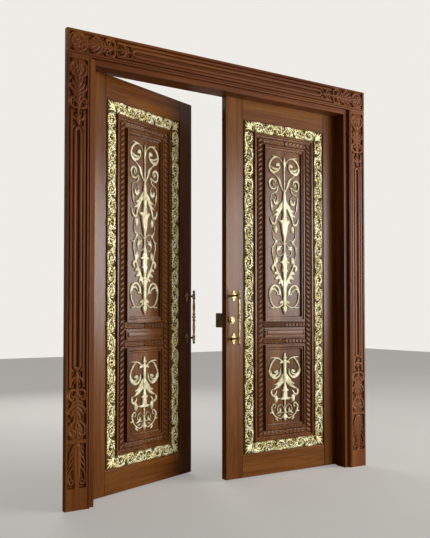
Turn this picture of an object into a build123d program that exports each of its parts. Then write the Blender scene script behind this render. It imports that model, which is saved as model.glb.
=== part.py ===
from build123d import *
import math
import os

os.makedirs("parts", exist_ok=True)

# Carved temple door: two gilded leaves in a rebated frame with carved casings.
# X runs to the right along the door, Y away from the viewer and Z up, in millimetres.
# The origin is on the floor line, midway between the jambs, in the plane of the casings' faces.

# Frame sizes
FRAME_WIDTH = 2072.0
FRAME_HEIGHT = 2450.0
FRAME_DEPTH = 175.0
CASING_WIDTH = 133.0
CASING_THICKNESS = 32.0
STOP_EDGE_WIDTH = 30.0
STOP_EDGE_SETBACK = 19.5
LEAF_SETBACK = 101.0
STOP_CLEARANCE = 1.0
STOP_OVERLAP = 12.0
HEAD_OVERLAP = 11.0
EDGE_CLEARANCE = 3.0
JAMB_BODY = 50.0
FIXING_HOLE_RADIUS = 5.5
FIXING_HOLE_SETBACK = 128.0

# Leaf sizes
LEAF_THICKNESS = 45.0
FLOOR_GAP = 10.0
MEETING_GAP = 8.0
OPEN_ANGLE = 21.0
STILE_WIDTH = 118.0
TOP_RAIL_HEIGHT = 131.0
BOTTOM_RAIL_HEIGHT = 135.0
PANEL_RECESS = 6.0
PANEL_THICKNESS = 24.0
PANEL_TONGUE = 12.0
PANEL_CLEARANCE = 0.5
TENON_LENGTH = 60.0
TENON_THICKNESS = 15.0
TENON_SHOULDER = 20.0
CUT_PAST = 2.0

# Applied mouldings, measured from the leaf's edges inwards
BORDER_INSET = 133.0
BORDER_WIDTH = 64.0
BORDER_END_GAP = 5.0
BORDER_BASE = 8.0
BORDER_RELIEF = 6.0
BORDER_PITCH = 66.0
BORDER_CORNER_RADIUS = 26.0
OUTER_MOULD_INSET = 209.0
OUTER_MOULD_WIDTH = 20.0
OUTER_MOULD_HEIGHT = 12.0
ROPE_INSET = 235.0
ROPE_WIDTH = 34.0
ROPE_BASE = 5.0
ROPE_RELIEF = 7.0
ROPE_PITCH = 30.0
FRAME_INSET = 283.0
FRAME_SIDE_WIDTH = 25.0
FRAME_END_WIDTH = 33.0
FRAME_MOULD_HEIGHT = 18.0
MOULD_BEVEL = 4.0
SMALL_GAP = 1.0
ROPE_END_GAP = 5.0
BAND_GAP = 4.0
LOWER_FRAME_HEIGHT = 521.0
HUSK_HEIGHT = 33.0
HUSK_BASE = 4.0
HUSK_RELIEF = 7.0
HUSK_PITCH = 28.0
BLOCK_HEIGHT = 60.0
BLOCK_BASE = 12.0
BLOCK_FIELD_MARGIN = 17.0
BLOCK_FIELD_HEIGHT = 6.0
ORNAMENT_HEIGHT = 9.0
SPINE_HEIGHT = 13.0

# Hinges
HINGES_PER_LEAF = 4
HINGE_HEIGHT = 125.0
HINGE_END_DISTANCE = 200.0
HINGE_PLATE_THICKNESS = 2.5
HINGE_PLATE_WIDTH = 32.0
KNUCKLES = 5
KNUCKLE_RADIUS = 7.0
KNUCKLE_GAP = 0.2
PIN_RADIUS = 3.0
PIN_CLEARANCE = 0.05
PIN_CAP_RADIUS = 6.0
PIN_CAP_HEIGHT = 6.0
PIN_END = 1.0
PIVOT_INSET = 5.0
PIVOT_STANDOFF = 8.0
WEB_THICKNESS = 5.0
WEB_PIN_GAP = 1.0
SCREW_RADIUS = 2.0
SCREW_HEAD_RADIUS = 4.2
SCREW_LENGTH = 26.0
SCREW_CLEARANCE = 0.1
FITTING_SCREW_RADIUS = 1.6
FITTING_SCREW_HEAD = 3.4
FITTING_SCREW_LENGTH = 20.0

# Pull handles
HANDLE_Z = 969.0
HANDLE_EDGE_DISTANCE = 52.0
HANDLE_STANDOFF = 60.0
HANDLE_FOOT_SPACING = 255.0
POST_RADIUS = 6.0
POST_COLLAR_RADIUS = 10.0
POST_COLLAR_HEIGHT = 5.0
ROSE_RADIUS = 16.0
ROSE_POINT_HALF_WIDTH = 8.8
ROSE_POINT_HALF_HEIGHT = 31.0
ROSE_THICKNESS = 5.0

# Rim lock on the right leaf and its keeper on the left leaf
LOCK_Z = 950.0
LOCK_LENGTH = 96.0
LOCK_HEIGHT = 86.0
LOCK_DEPTH = 64.0
LOCK_WALL = 3.0
LOCK_PLATE = 2.0
LOCK_FLANGE_DEPTH = 17.0
LOCK_PLATE_MARGIN = 14.0
LOCK_BOLT_RADIUS = 9.0
LOCK_BOLT_CLEARANCE = 0.3
LOCK_BOLT_SPREAD_Z = 34.0
LOCK_BOLT_SPREAD_N = 33.0
LOCK_BOLT_LENGTH = 42.0
LOCK_BOLT_INSET = 1.0
LOCK_THROW = 24.0
CARRIAGE_THICKNESS = 12.0
KEEPER_LENGTH = 40.0
LOCK_SCREW_RISE = 30.96
KEEPER_SCREW_RISE = 25.8
TURN_DISTANCE = 70.0
TURN_SPINDLE_RADIUS = 5.0
TURN_SPINDLE_LENGTH = 6.0
TURN_KNOB_RADIUS = 14.0
TURN_DISC_HEIGHT = 4.0
TURN_GRIP_WIDTH = 6.0
TURN_GRIP_LENGTH = 26.0
TURN_GRIP_HEIGHT = 12.0
TURN_CLEARANCE = 0.5
CYLINDER_EDGE_DISTANCE = 38.0
CYLINDER_RADIUS = 14.0
CYLINDER_ROSE_RADIUS = 19.0
CYLINDER_ROSE_THICKNESS = 6.0
CYLINDER_ROUNDING = 4.0
CYLINDER_PROJECTION = 14.0
PLUG_RADIUS = 7.0
PLUG_CLEARANCE = 0.05
KEYWAY_WIDTH = 2.0
KEYWAY_HEIGHT = 10.5
KEYWAY_DEPTH = 9.0

# Tower bolts
TOWER_EDGE_DISTANCE = 45.0
TOWER_PLATE_WIDTH = 36.0
TOWER_PLATE_HEIGHT = 270.0
TOWER_PLATE_THICKNESS = 2.5
TOWER_TOP_DISTANCE = 8.0
TOWER_ROD_RADIUS = 6.0
TOWER_ROD_CLEARANCE = 0.08
TOWER_GUIDE_DEPTH = 17.0
TOWER_GUIDE_HEIGHT = 24.0
TOWER_GUIDE_WIDTH = 24.0
TOWER_GUIDE_MARGIN = 4.0
TOWER_SCREW_RISES = (54.0, 97.2, 172.8, 216.0)
TOWER_SCREW_SPREAD = 10.08
TOWER_TIP_DISTANCE = 4.0
TOWER_THROW = 25.0
TOWER_KNOB_RADIUS = 5.0
TOWER_KNOB_LENGTH = 22.0
SOCKET_CLEARANCE = 1.0
SOCKET_MARGIN = 3.0
SOCKET_PLATE_LENGTH = 44.0
SOCKET_PLATE_WIDTH = 30.0
SOCKET_PLATE_THICKNESS = 2.0

# Carving on the casings, measured from the casing's outer edge
CASING_ARRIS = 1.0
RIM_WIDTH = 13.0
FIELD_DEPTH = 9.0
FIELD_SLOPE = 3.0
FIELD_END = 112.0
INNER_GROOVE_START = 122.0
INNER_GROOVE_WIDTH = 4.0
INNER_GROOVE_DEPTH = 4.0
PLINTH_HEIGHT = 110.0
LEAF_BLOCK_HEIGHT = 225.0
LEAF_BLOCK_MARGIN = 4.0
BAND_HEIGHT = 20.0
MOTIF_LENGTH = 345.0
FLUTE_WIDTH = 51.0
FLUTE_SLOT_WIDTH = 13.0
FLUTE_HEIGHT = 6.0
CARVING_HEIGHT = 8.0

# Places worked out from the sizes
opening_half = FRAME_WIDTH / 2 - CASING_WIDTH - STOP_EDGE_WIDTH
opening_height = FRAME_HEIGHT - CASING_WIDTH - STOP_EDGE_WIDTH
leaf_edge = opening_half + STOP_OVERLAP
leaf_width = leaf_edge - MEETING_GAP / 2
leaf_top = opening_height + HEAD_OVERLAP
leaf_height = leaf_top - FLOOR_GAP
rebate_x = leaf_edge + EDGE_CLEARANCE
rebate_z = leaf_top + EDGE_CLEARANCE
jamb_outer_x = rebate_x + JAMB_BODY
jamb_top = rebate_z + JAMB_BODY
casing_joint_z = FRAME_HEIGHT - CASING_WIDTH
stop_back = LEAF_SETBACK - STOP_CLEARANCE
lip_depth = CASING_THICKNESS - STOP_EDGE_SETBACK
lip_y = (CASING_THICKNESS + STOP_EDGE_SETBACK) / 2
pivot_x = leaf_edge - PIVOT_INSET
pivot_y = LEAF_SETBACK + LEAF_THICKNESS + PIVOT_STANDOFF
panel_front = -PANEL_RECESS
panel_back = panel_front - PANEL_THICKNESS
axis_u = leaf_width / 2
bottom_rail_top = FLOOR_GAP + BOTTOM_RAIL_HEIGHT
top_rail_low = leaf_top - TOP_RAIL_HEIGHT
panel_middle = (bottom_rail_top + top_rail_low) / 2

# Heights of the bands that are stacked on the leaf's panel
border_low = bottom_rail_top + BORDER_END_GAP
border_high = top_rail_low - BORDER_END_GAP
outer_mould_low = border_low + BORDER_WIDTH + SMALL_GAP
outer_mould_high = border_high - BORDER_WIDTH - SMALL_GAP
rope_low = outer_mould_low + OUTER_MOULD_WIDTH + ROPE_END_GAP
rope_high = outer_mould_high - OUTER_MOULD_WIDTH - ROPE_END_GAP
lower_frame_low = rope_low + ROPE_WIDTH + BAND_GAP
lower_frame_high = lower_frame_low + LOWER_FRAME_HEIGHT
lower_husk_low = lower_frame_high + BAND_GAP
block_low = lower_husk_low + HUSK_HEIGHT + BAND_GAP
upper_husk_low = block_low + BLOCK_HEIGHT + BAND_GAP
upper_frame_low = upper_husk_low + HUSK_HEIGHT + BAND_GAP
upper_frame_high = rope_high - ROPE_WIDTH - BAND_GAP
upper_field_low = upper_frame_low + FRAME_END_WIDTH
lower_field_low = lower_frame_low + FRAME_END_WIDTH

hinge_span = leaf_height - 2 * HINGE_END_DISTANCE
hinge_step = hinge_span / (HINGES_PER_LEAF - 1)
hinge_heights = [FLOOR_GAP + HINGE_END_DISTANCE + hinge_step * i for i in range(HINGES_PER_LEAF)]
fixing_heights = [z + hinge_step / 2 for z in hinge_heights[:-1]]
knuckle_pitch = HINGE_HEIGHT / KNUCKLES
plate_front = LEAF_THICKNESS - HINGE_PLATE_WIDTH
screw_rows = [
    (plate_front + HINGE_PLATE_WIDTH * 0.35, -HINGE_HEIGHT * 0.32),
    (plate_front + HINGE_PLATE_WIDTH * 0.70, -HINGE_HEIGHT * 0.12),
    (plate_front + HINGE_PLATE_WIDTH * 0.70, HINGE_HEIGHT * 0.12),
    (plate_front + HINGE_PLATE_WIDTH * 0.35, HINGE_HEIGHT * 0.32),
]
tower_axis_n = -(LEAF_THICKNESS + TOWER_PLATE_THICKNESS + TOWER_GUIDE_DEPTH / 2)
lock_face = -(LEAF_THICKNESS + LOCK_PLATE)
lock_back = lock_face - LOCK_DEPTH
lock_axis_n = (lock_face + lock_back) / 2


def save(part, name):
    """Labels a finished piece and writes its file."""
    part.label = name
    export_step(part, f"parts/{name}.step")


def leaf_plane(side):
    """The plane of a leaf's face: u to the right, v up from the floor and n towards the viewer."""
    if side == "right":
        return Plane(origin=(leaf_edge - leaf_width, LEAF_SETBACK, 0), x_dir=(1, 0, 0), z_dir=(0, -1, 0))
    angle = math.radians(OPEN_ANGLE)
    along = Vector(math.cos(angle), math.sin(angle), 0)
    out = Vector(math.sin(angle), -math.cos(angle), 0)
    pivot = Vector(-pivot_x, pivot_y, 0)
    corner = pivot - along * PIVOT_INSET + out * (LEAF_THICKNESS + PIVOT_STANDOFF)
    return Plane(origin=corner, x_dir=along, z_dir=out)


def from_hinge(side, distance):
    """Place across a leaf, at a distance from its hinged edge."""
    return distance if side == "left" else leaf_width - distance


def from_meeting(side, distance):
    """Place across a leaf, at a distance from its meeting edge."""
    return from_hinge(side, leaf_width - distance)


def hinge_direction(side):
    """The way from the meeting edge to the hinged edge along u."""
    return -1 if side == "left" else 1


def ribbon(points, widths):
    """A tapering band on centre points: a short one has straight sides and a long one curved sides."""
    left = []
    right = []
    count = len(points)
    for i in range(count):
        before = points[max(i - 1, 0)]
        after = points[min(i + 1, count - 1)]
        dx = after[0] - before[0]
        dy = after[1] - before[1]
        length = math.hypot(dx, dy)
        half = widths[i] / 2
        x, y = points[i]
        left.append((x - dy / length * half, y + dx / length * half))
        right.append((x + dy / length * half, y - dx / length * half))
    with BuildSketch(Plane.XY) as band:
        with BuildLine():
            if count <= SHORT_BAND_POINTS:
                Polyline(*left, *reversed(right), close=True)
            else:
                Spline(*left)
                Line(left[-1], right[-1])
                Spline(*reversed(right))
                Line(right[0], left[0])
        make_face()
    return band.sketch


def mirrored_bands(bands, buds, base):
    """Tapering bands and oval buds on both sides of an axis, with heights from the base."""
    with BuildSketch(Plane.XY) as half:
        for points, widths in bands:
            add(ribbon([(x, y - base) for x, y in points], widths))
        for x, y, half_width, half_height in buds:
            with Locations((x, y - base)):
                Ellipse(half_width, half_height)
        mirror(about=Plane.YZ)
    return half.sketch


def outline_face(outline):
    """A flat shape with straight sides."""
    with BuildSketch(Plane.XY) as shape:
        with BuildLine():
            Polyline(*outline, close=True)
        make_face()
    return shape.sketch


def turned_outline(half_widths, base):
    """A shape that is the same on both sides of its axis, from pairs of height and half width."""
    right = [(half, z - base) for z, half in half_widths]
    left = [(-x, y) for x, y in reversed(right)]
    return outline_face(right + left)


# Bands with more centre points than this have curved sides
SHORT_BAND_POINTS = 5

# One leaf of the border's running scroll: across the border and along it, from the leaf's middle
SCROLL_OUTLINE = [
    (-25, -30), (-8, -25), (12, -24), (24, -11), (26, 6), (17, 20), (1, 21), (-5, 10), (5, 8), (14, 3),
    (11, -9), (0, -14), (-11, -9), (-17, 5), (-13, 21), (-23, 31), (-28, 10), (-25, -12),
]

# One strand of the roped band, in the same way
STRAND_OUTLINE = [
    (-16, -17), (-3, -14), (5, -5), (10, 5), (16, 10), (16, 17), (3, 14), (-5, 5), (-10, -5), (-16, -10),
]

# Half of the upper ornament: bands as centre points and widths, from the field's lower edge
UPPER_BASE = 975.0
UPPER_BANDS = [
    ([(12, 1930), (32, 1955), (62, 1966), (98, 1948), (117, 1910), (104, 1874), (80, 1861)],
     [4, 6, 8, 12, 14, 11, 6]),
    ([(52, 1966), (82, 1970), (106, 1974)], [7, 8, 3]),
    ([(110, 1884), (84, 1871), (55, 1880), (37, 1905), (46, 1928), (64, 1918)], [12, 15, 12, 9, 8, 8]),
    ([(82, 1860), (62, 1846), (40, 1826), (30, 1798), (8, 1755)], [5, 6, 15, 14, 6]),
    ([(112, 1775), (116, 1808), (97, 1827), (75, 1818), (72, 1800)], [8, 13, 13, 9, 7]),
    ([(53, 1780), (60, 1752), (80, 1740), (100, 1730), (105, 1700), (102, 1660), (92, 1628), (78, 1606)],
     [11, 7, 5, 5, 5, 8, 6, 4]),
    ([(74, 1739), (54, 1716), (50, 1690), (64, 1673), (80, 1682), (77, 1702)], [4, 5, 8, 12, 10, 4]),
    ([(8, 1690), (26, 1668), (47, 1655)], [18, 18, 5]),
    ([(10, 1672), (44, 1642), (76, 1629)], [20, 19, 6]),
    ([(22, 1655), (56, 1614), (87, 1598)], [18, 17, 5]),
    ([(40, 1628), (62, 1585), (72, 1548)], [14, 13, 8]),
    ([(68, 1556), (88, 1545), (103, 1560), (107, 1584)], [8, 11, 9, 3]),
    ([(72, 1550), (88, 1520), (89, 1470), (76, 1446)], [4, 4, 4, 5]),
    ([(6, 1424), (26, 1443), (48, 1449), (68, 1440)], [6, 6, 6, 7]),
    ([(66, 1436), (88, 1406), (94, 1370), (86, 1335), (76, 1296)], [6, 8, 7, 6, 9]),
    ([(90, 1404), (101, 1404), (114, 1402)], [8, 7, 3]),
    ([(5, 1368), (26, 1353), (50, 1358), (59, 1386), (46, 1402), (28, 1402)], [6, 5, 5, 5, 13, 4]),
    ([(56, 1420), (46, 1402), (50, 1384)], [4, 11, 4]),
    ([(74, 1308), (66, 1275), (46, 1232), (26, 1192), (8, 1150)], [7, 10, 18, 20, 12]),
    ([(50, 1240), (68, 1243), (86, 1240)], [16, 13, 4]),
    ([(40, 1218), (58, 1212), (76, 1206)], [20, 18, 6]),
    ([(20, 1192), (34, 1186), (50, 1178)], [20, 17, 5]),
    ([(70, 1283), (86, 1291), (97, 1275), (90, 1252)], [6, 11, 13, 6]),
    ([(8, 1052), (26, 1040), (54, 1028), (88, 1038), (111, 1078), (115, 1122), (100, 1154), (76, 1166),
      (52, 1155), (36, 1128), (30, 1102)], [9, 8, 8, 8, 9, 13, 16, 11, 12, 12, 4]),
    ([(106, 1136), (88, 1143), (68, 1134), (48, 1112)], [10, 12, 9, 4]),
    ([(78, 1031), (92, 1026), (108, 1027)], [5, 9, 9]),
    ([(6, 1064), (22, 1062), (38, 1056)], [22, 18, 8]),
]
UPPER_BUDS = [(67, 1516, 15, 26), (66, 1438, 10, 14), (64, 1322, 16, 24), (0, 1015, 16, 10)]
UPPER_SPINE = [
    (1976, 1), (1958, 6), (1938, 11), (1918, 11), (1900, 6), (1850, 4.5), (1775, 4.5), (1748, 9), (1700, 14),
    (1660, 18), (1640, 15), (1612, 14), (1580, 21), (1574, 21), (1573, 46), (1563, 46), (1548, 31),
    (1500, 22), (1450, 9), (1425, 6.5), (1390, 6.5), (1352, 12), (1326, 24), (1317, 24), (1316, 39), (1306, 39),
    (1304, 23), (1266, 20), (1262, 27), (1254, 27), (1250, 18), (1200, 11), (1150, 16), (1100, 14), (1060, 13),
    (1040, 12), (1030, 20), (1014, 18), (984, 1),
]

# Half of the lower ornament, given in the same way
LOWER_BASE = 311.0
LOWER_BANDS = [
    ([(8, 678), (38, 706), (70, 716), (114, 718)], [8, 8, 9, 3]),
    ([(70, 714), (95, 692), (114, 660), (118, 625), (98, 601), (70, 592), (44, 605), (34, 630), (36, 652)],
     [6, 12, 10, 12, 16, 15, 12, 9, 3]),
    ([(104, 614), (78, 609), (54, 622), (60, 638), (80, 634)], [9, 11, 8, 7, 4]),
    ([(6, 696), (20, 690), (36, 684)], [12, 13, 12]),
    ([(6, 604), (28, 586), (51, 573)], [26, 18, 5]),
    ([(8, 588), (44, 562), (76, 552)], [24, 19, 6]),
    ([(14, 572), (52, 541), (87, 523)], [20, 19, 6]),
    ([(80, 528), (106, 514), (104, 493), (88, 483), (72, 493), (60, 510)], [5, 6, 11, 15, 10, 3]),
    ([(88, 484), (82, 476), (76, 468)], [5, 5, 5]),
    ([(40, 463), (54, 462), (66, 460)], [7, 6, 6]),
    ([(5, 372), (8, 402), (30, 425), (52, 413), (57, 391)], [5, 5, 5, 6, 8]),
    ([(4, 378), (28, 376), (40, 386), (26, 396)], [5, 5, 11, 4]),
    ([(88, 432), (103, 411), (96, 384), (76, 357), (56, 346)], [7, 13, 11, 6, 9]),
    ([(92, 384), (103, 381), (114, 379)], [6, 8, 7]),
    ([(4, 366), (28, 341), (50, 343), (76, 360)], [9, 6, 6, 5]),
    ([(76, 342), (66, 335), (56, 330)], [5, 9, 10]),
    ([(68, 368), (54, 374), (40, 384)], [4, 8, 9]),
]
LOWER_BUDS = [(68, 461, 16, 25), (32, 685, 9, 8)]
LOWER_SPINE = [
    (750, 1), (738, 7), (722, 9), (719, 18), (712, 18), (709, 8), (698, 13), (650, 12), (596, 14), (556, 10),
    (540, 12), (522, 18), (519, 30), (510, 30), (507, 17), (497, 20), (470, 23), (469, 41), (457, 41),
    (455, 6), (402, 5), (384, 10), (366, 8), (346, 20), (322, 2),
]

# Half of the carved drop at each end of a casing's flute, from its tip to its widest leaves
DROP_BANDS = [
    ([(0, 12), (4, 34), (0, 58)], [3, 22, 10]),
    ([(4, 46), (16, 50), (30, 66), (24, 82)], [10, 16, 13, 4]),
    ([(0, 52), (0, 90), (0, 120)], [10, 9, 14]),
    ([(4, 98), (20, 98), (44, 112), (52, 138), (34, 152), (22, 138), (32, 128)], [8, 13, 18, 15, 11, 9, 8]),
    ([(2, 118), (12, 160), (10, 205)], [14, 20, 22]),
    ([(6, 158), (30, 172), (46, 196)], [18, 22, 6]),
    ([(8, 182), (32, 202), (52, 226)], [20, 22, 6]),
    ([(4, 200), (26, 244), (50, 276)], [22, 26, 16]),
    ([(50, 262), (52, 300), (34, 330), (14, 312), (24, 290)], [14, 17, 16, 12, 9]),
    ([(0, 200), (2, 260), (0, 330)], [24, 30, 14]),
]

# Half of the leaf block above the plinth: centre points and widths from its foot upwards, from its axis outwards
LEAF_BANDS = [
    ([(0, 2), (0, 60), (2, 128), (3, 178)], [34, 46, 52, 34]),
    ([(12, 176), (26, 184), (34, 172)], [14, 18, 7]),
    ([(20, 8), (28, 60), (34, 116), (30, 164)], [10, 17, 19, 8]),
    ([(26, 6), (38, 50), (42, 96), (38, 138)], [8, 14, 13, 5]),
    ([(28, 6), (40, 20), (42, 42), (36, 58), (25, 50), (30, 38)], [9, 14, 13, 12, 10, 8]),
    ([(34, 8), (44, 10), (44, 24)], [7, 9, 5]),
]


def panel_ornament(side, low, base, bands, buds, spine):
    """An ornament laid on the leaf's panel: a thin carved web with a raised middle."""
    plane = leaf_plane(side)
    seat = Plane(origin=plane.from_local_coords((axis_u, low, panel_front)), x_dir=plane.x_dir, z_dir=plane.z_dir)
    with BuildPart() as ornament:
        with BuildSketch(seat):
            add(mirrored_bands(bands, buds, base))
        extrude(amount=ORNAMENT_HEIGHT)
        with BuildSketch(seat):
            add(turned_outline(spine, base))
        extrude(amount=SPINE_HEIGHT)
    return ornament.part


def ring(side, inset, low, high, side_width, end_width, height, bevel):
    """A moulded frame of four lengths glued at their mitres, on the leaf's panel."""
    plane = leaf_plane(side)
    with BuildPart() as frame:
        with BuildSketch(plane.offset(panel_front)):
            with Locations((axis_u, (low + high) / 2)):
                Rectangle(leaf_width - 2 * inset, high - low)
                Rectangle(leaf_width - 2 * inset - 2 * side_width, high - low - 2 * end_width, mode=Mode.SUBTRACT)
        extrude(amount=height)
        if bevel:
            face = frame.faces().sort_by(Axis(plane.origin, plane.z_dir))[-1]
            chamfer(face.edges(), bevel)
    return frame.part


def run_places(start, end, pitch):
    """Evenly spaced places that fill a run, whole pitches only."""
    count = max(int((end - start) // pitch), 1)
    step = (end - start) / count
    return [start + step * (i + 0.5) for i in range(count)]


def gilded_border(side):
    """The wide border: a flat ground with a running scroll cut on it."""
    ground = ring(side, BORDER_INSET, border_low, border_high, BORDER_WIDTH, BORDER_WIDTH, BORDER_BASE, 0)
    plane = leaf_plane(side).offset(panel_front + BORDER_BASE)
    left = BORDER_INSET + BORDER_WIDTH / 2
    low = border_low + BORDER_WIDTH / 2
    high = border_high - BORDER_WIDTH / 2
    corner = BORDER_WIDTH / 2
    runs = []
    for u in (left, leaf_width - left):
        for i, v in enumerate(run_places(low + corner, high - corner, BORDER_PITCH)):
            runs.append(Location((u, v, 0), (0, 0, 180.0 * (i % 2))))
    for v in (low, high):
        for i, u in enumerate(run_places(left + corner, leaf_width - left - corner, BORDER_PITCH)):
            runs.append(Location((u, v, 0), (0, 0, 90.0 + 180.0 * (i % 2))))
    corners = [(left, low), (leaf_width - left, low), (left, high), (leaf_width - left, high)]
    scroll = outline_face(SCROLL_OUTLINE)
    with BuildPart() as border:
        add(ground)
        with BuildSketch(plane):
            with Locations(*runs):
                add(scroll)
            with Locations(*corners):
                RegularPolygon(BORDER_CORNER_RADIUS, 8)
        extrude(amount=BORDER_RELIEF)
    return border.part


def rope_band(side):
    """The roped band inside the outer moulding, with its bead run at the top and bottom."""
    ground = ring(side, ROPE_INSET, rope_low, rope_high, ROPE_WIDTH, ROPE_WIDTH, ROPE_BASE, 0)
    plane = leaf_plane(side).offset(panel_front + ROPE_BASE)
    left = ROPE_INSET + ROPE_WIDTH / 2
    low = rope_low + ROPE_WIDTH / 2
    high = rope_high - ROPE_WIDTH / 2
    inner = run_places(left + ROPE_WIDTH / 2, leaf_width - left - ROPE_WIDTH / 2, ROPE_PITCH)
    half = len(inner) // 2
    strand = outline_face(STRAND_OUTLINE)
    turned_strand = outline_face([(-x, y) for x, y in reversed(STRAND_OUTLINE)])
    levels = run_places(rope_low, rope_high, ROPE_PITCH)
    strands = [(u, v, 90) for u in inner[:half] for v in (low, high)]
    strands += [(left, v, 0) for v in levels]
    turned_strands = [(u, v, 90) for u in inner[half:] for v in (low, high)]
    turned_strands += [(leaf_width - left, v, 0) for v in levels]
    with BuildPart() as band:
        add(ground)
        with BuildSketch(plane):
            with Locations(*[Location((u, v, 0), (0, 0, turn)) for u, v, turn in strands]):
                add(strand)
            with Locations(*[Location((u, v, 0), (0, 0, turn)) for u, v, turn in turned_strands]):
                add(turned_strand)
        extrude(amount=ROPE_RELIEF)
    return band.part


# One husk: along its run and across it, from its middle, with its tip at the right
HUSK_OUTLINE = [(-12.9, 7.8), (-2.6, 15.5), (12.9, 0), (-2.6, -15.5), (-12.9, -7.8), (-5.2, 0)]


def husk_strips(side):
    """Two short runs of husks that point to the leaf's middle, above and below the block."""
    plane = leaf_plane(side).offset(panel_front)
    start = ROPE_INSET + ROPE_WIDTH
    middles = [low + HUSK_HEIGHT / 2 for low in (lower_husk_low, upper_husk_low)]
    husk = outline_face(HUSK_OUTLINE)
    places = []
    for u in run_places(start, leaf_width - start, HUSK_PITCH):
        turn = 0 if u < axis_u else 180
        for middle in middles:
            places.append(Location((u, middle, 0), (0, 0, turn)))
    with BuildPart() as strips:
        with BuildSketch(plane):
            with Locations(*[(axis_u, middle) for middle in middles]):
                Rectangle(leaf_width - 2 * start, HUSK_HEIGHT)
        extrude(amount=HUSK_BASE)
        with BuildSketch(plane.offset(HUSK_BASE)):
            with Locations(*places):
                add(husk)
        extrude(amount=HUSK_RELIEF)
    return strips.part


def middle_block(side):
    """The plain moulded block between the two husk runs."""
    plane = leaf_plane(side).offset(panel_front)
    width = leaf_width - 2 * FRAME_INSET
    middle = block_low + BLOCK_HEIGHT / 2
    with BuildPart() as block:
        with BuildSketch(plane):
            with Locations((axis_u, middle)):
                Rectangle(width, BLOCK_HEIGHT)
        extrude(amount=BLOCK_BASE)
        face = block.faces().sort_by(Axis(plane.origin, plane.z_dir))[-1]
        chamfer(face.edges(), MOULD_BEVEL)
        with BuildSketch(plane.offset(BLOCK_BASE)):
            with Locations((axis_u, middle)):
                Rectangle(width - 2 * BLOCK_FIELD_MARGIN, BLOCK_HEIGHT - 2 * BLOCK_FIELD_MARGIN)
        extrude(amount=BLOCK_FIELD_HEIGHT)
    return block.part


def hinge_cuts(side, edge_u):
    """Recesses and pilot holes for the hinge plates in a stile's hinged edge, in the part being built."""
    way = hinge_direction(side)
    recess_u = edge_u - way * HINGE_PLATE_THICKNESS / 2
    recess_n = -(plate_front + HINGE_PLATE_WIDTH / 2)
    with Locations(*[(recess_u, z, recess_n) for z in hinge_heights]):
        Box(HINGE_PLATE_THICKNESS, HINGE_HEIGHT, HINGE_PLATE_WIDTH, mode=Mode.SUBTRACT)
    for z in hinge_heights:
        for setback, rise in screw_rows:
            place = Location((edge_u - way * SCREW_LENGTH / 2, z + rise, -setback), (0, 90, 0))
            with Locations(place):
                Cylinder(SCREW_RADIUS + SCREW_CLEARANCE, SCREW_LENGTH, mode=Mode.SUBTRACT)


def stile(side, hinged):
    """An upright of a leaf, grooved for the panel and mortised for the rails."""
    place = from_hinge if hinged else from_meeting
    middle_u = place(side, STILE_WIDTH / 2)
    inner_u = place(side, STILE_WIDTH)
    toward_edge = -1 if inner_u > middle_u else 1
    middle_z = FLOOR_GAP + leaf_height / 2
    with BuildPart(leaf_plane(side)) as upright:
        with Locations((middle_u, middle_z, -LEAF_THICKNESS / 2)):
            Box(STILE_WIDTH, leaf_height, LEAF_THICKNESS)
        groove_n = panel_front - PANEL_THICKNESS / 2
        with Locations((inner_u + toward_edge * PANEL_TONGUE / 2, panel_middle, groove_n)):
            groove_height = top_rail_low - bottom_rail_top + 2 * PANEL_TONGUE
            Box(PANEL_TONGUE, groove_height, PANEL_THICKNESS, mode=Mode.SUBTRACT)
        for low, height in ((FLOOR_GAP, BOTTOM_RAIL_HEIGHT), (top_rail_low, TOP_RAIL_HEIGHT)):
            with Locations((inner_u + toward_edge * TENON_LENGTH / 2, low + height / 2, -LEAF_THICKNESS / 2)):
                Box(TENON_LENGTH, height - 2 * TENON_SHOULDER, TENON_THICKNESS, mode=Mode.SUBTRACT)
        if hinged:
            hinge_cuts(side, from_hinge(side, 0))
        else:
            fitting_screw_cuts(side)
        if side == "right" and not hinged:
            with Locations((from_meeting(side, CYLINDER_EDGE_DISTANCE), LOCK_Z, -LEAF_THICKNESS / 2)):
                Cylinder(CYLINDER_RADIUS, LEAF_THICKNESS, mode=Mode.SUBTRACT)
            with Locations((LOCK_PLATE / 2, LOCK_Z, -(LEAF_THICKNESS - LOCK_FLANGE_DEPTH / 2))):
                Box(LOCK_PLATE, LOCK_HEIGHT, LOCK_FLANGE_DEPTH, mode=Mode.SUBTRACT)
    return upright.part


def rail(side, low, height, groove_up):
    """A rail between the stiles, with a tenon at each end and a groove for the panel."""
    length = leaf_width - 2 * STILE_WIDTH
    middle = low + height / 2
    edge = low + height if groove_up else low
    inward = -1 if groove_up else 1
    with BuildPart(leaf_plane(side)) as bar:
        with Locations((axis_u, middle, -LEAF_THICKNESS / 2)):
            Box(length, height, LEAF_THICKNESS)
            Box(length + 2 * TENON_LENGTH, height - 2 * TENON_SHOULDER, TENON_THICKNESS)
        with Locations((axis_u, edge + inward * PANEL_TONGUE / 2, panel_front - PANEL_THICKNESS / 2)):
            Box(length, PANEL_TONGUE, PANEL_THICKNESS, mode=Mode.SUBTRACT)
    return bar.part


def field_panel(side):
    """The board that carries the ornaments, held in the grooves of the stiles and rails."""
    width = leaf_width - 2 * STILE_WIDTH + 2 * (PANEL_TONGUE - PANEL_CLEARANCE)
    height = top_rail_low - bottom_rail_top + 2 * (PANEL_TONGUE - PANEL_CLEARANCE)
    with BuildPart(leaf_plane(side)) as panel:
        with Locations((axis_u, panel_middle, panel_front - PANEL_THICKNESS / 2)):
            Box(width, height, PANEL_THICKNESS)
    return panel.part


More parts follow.
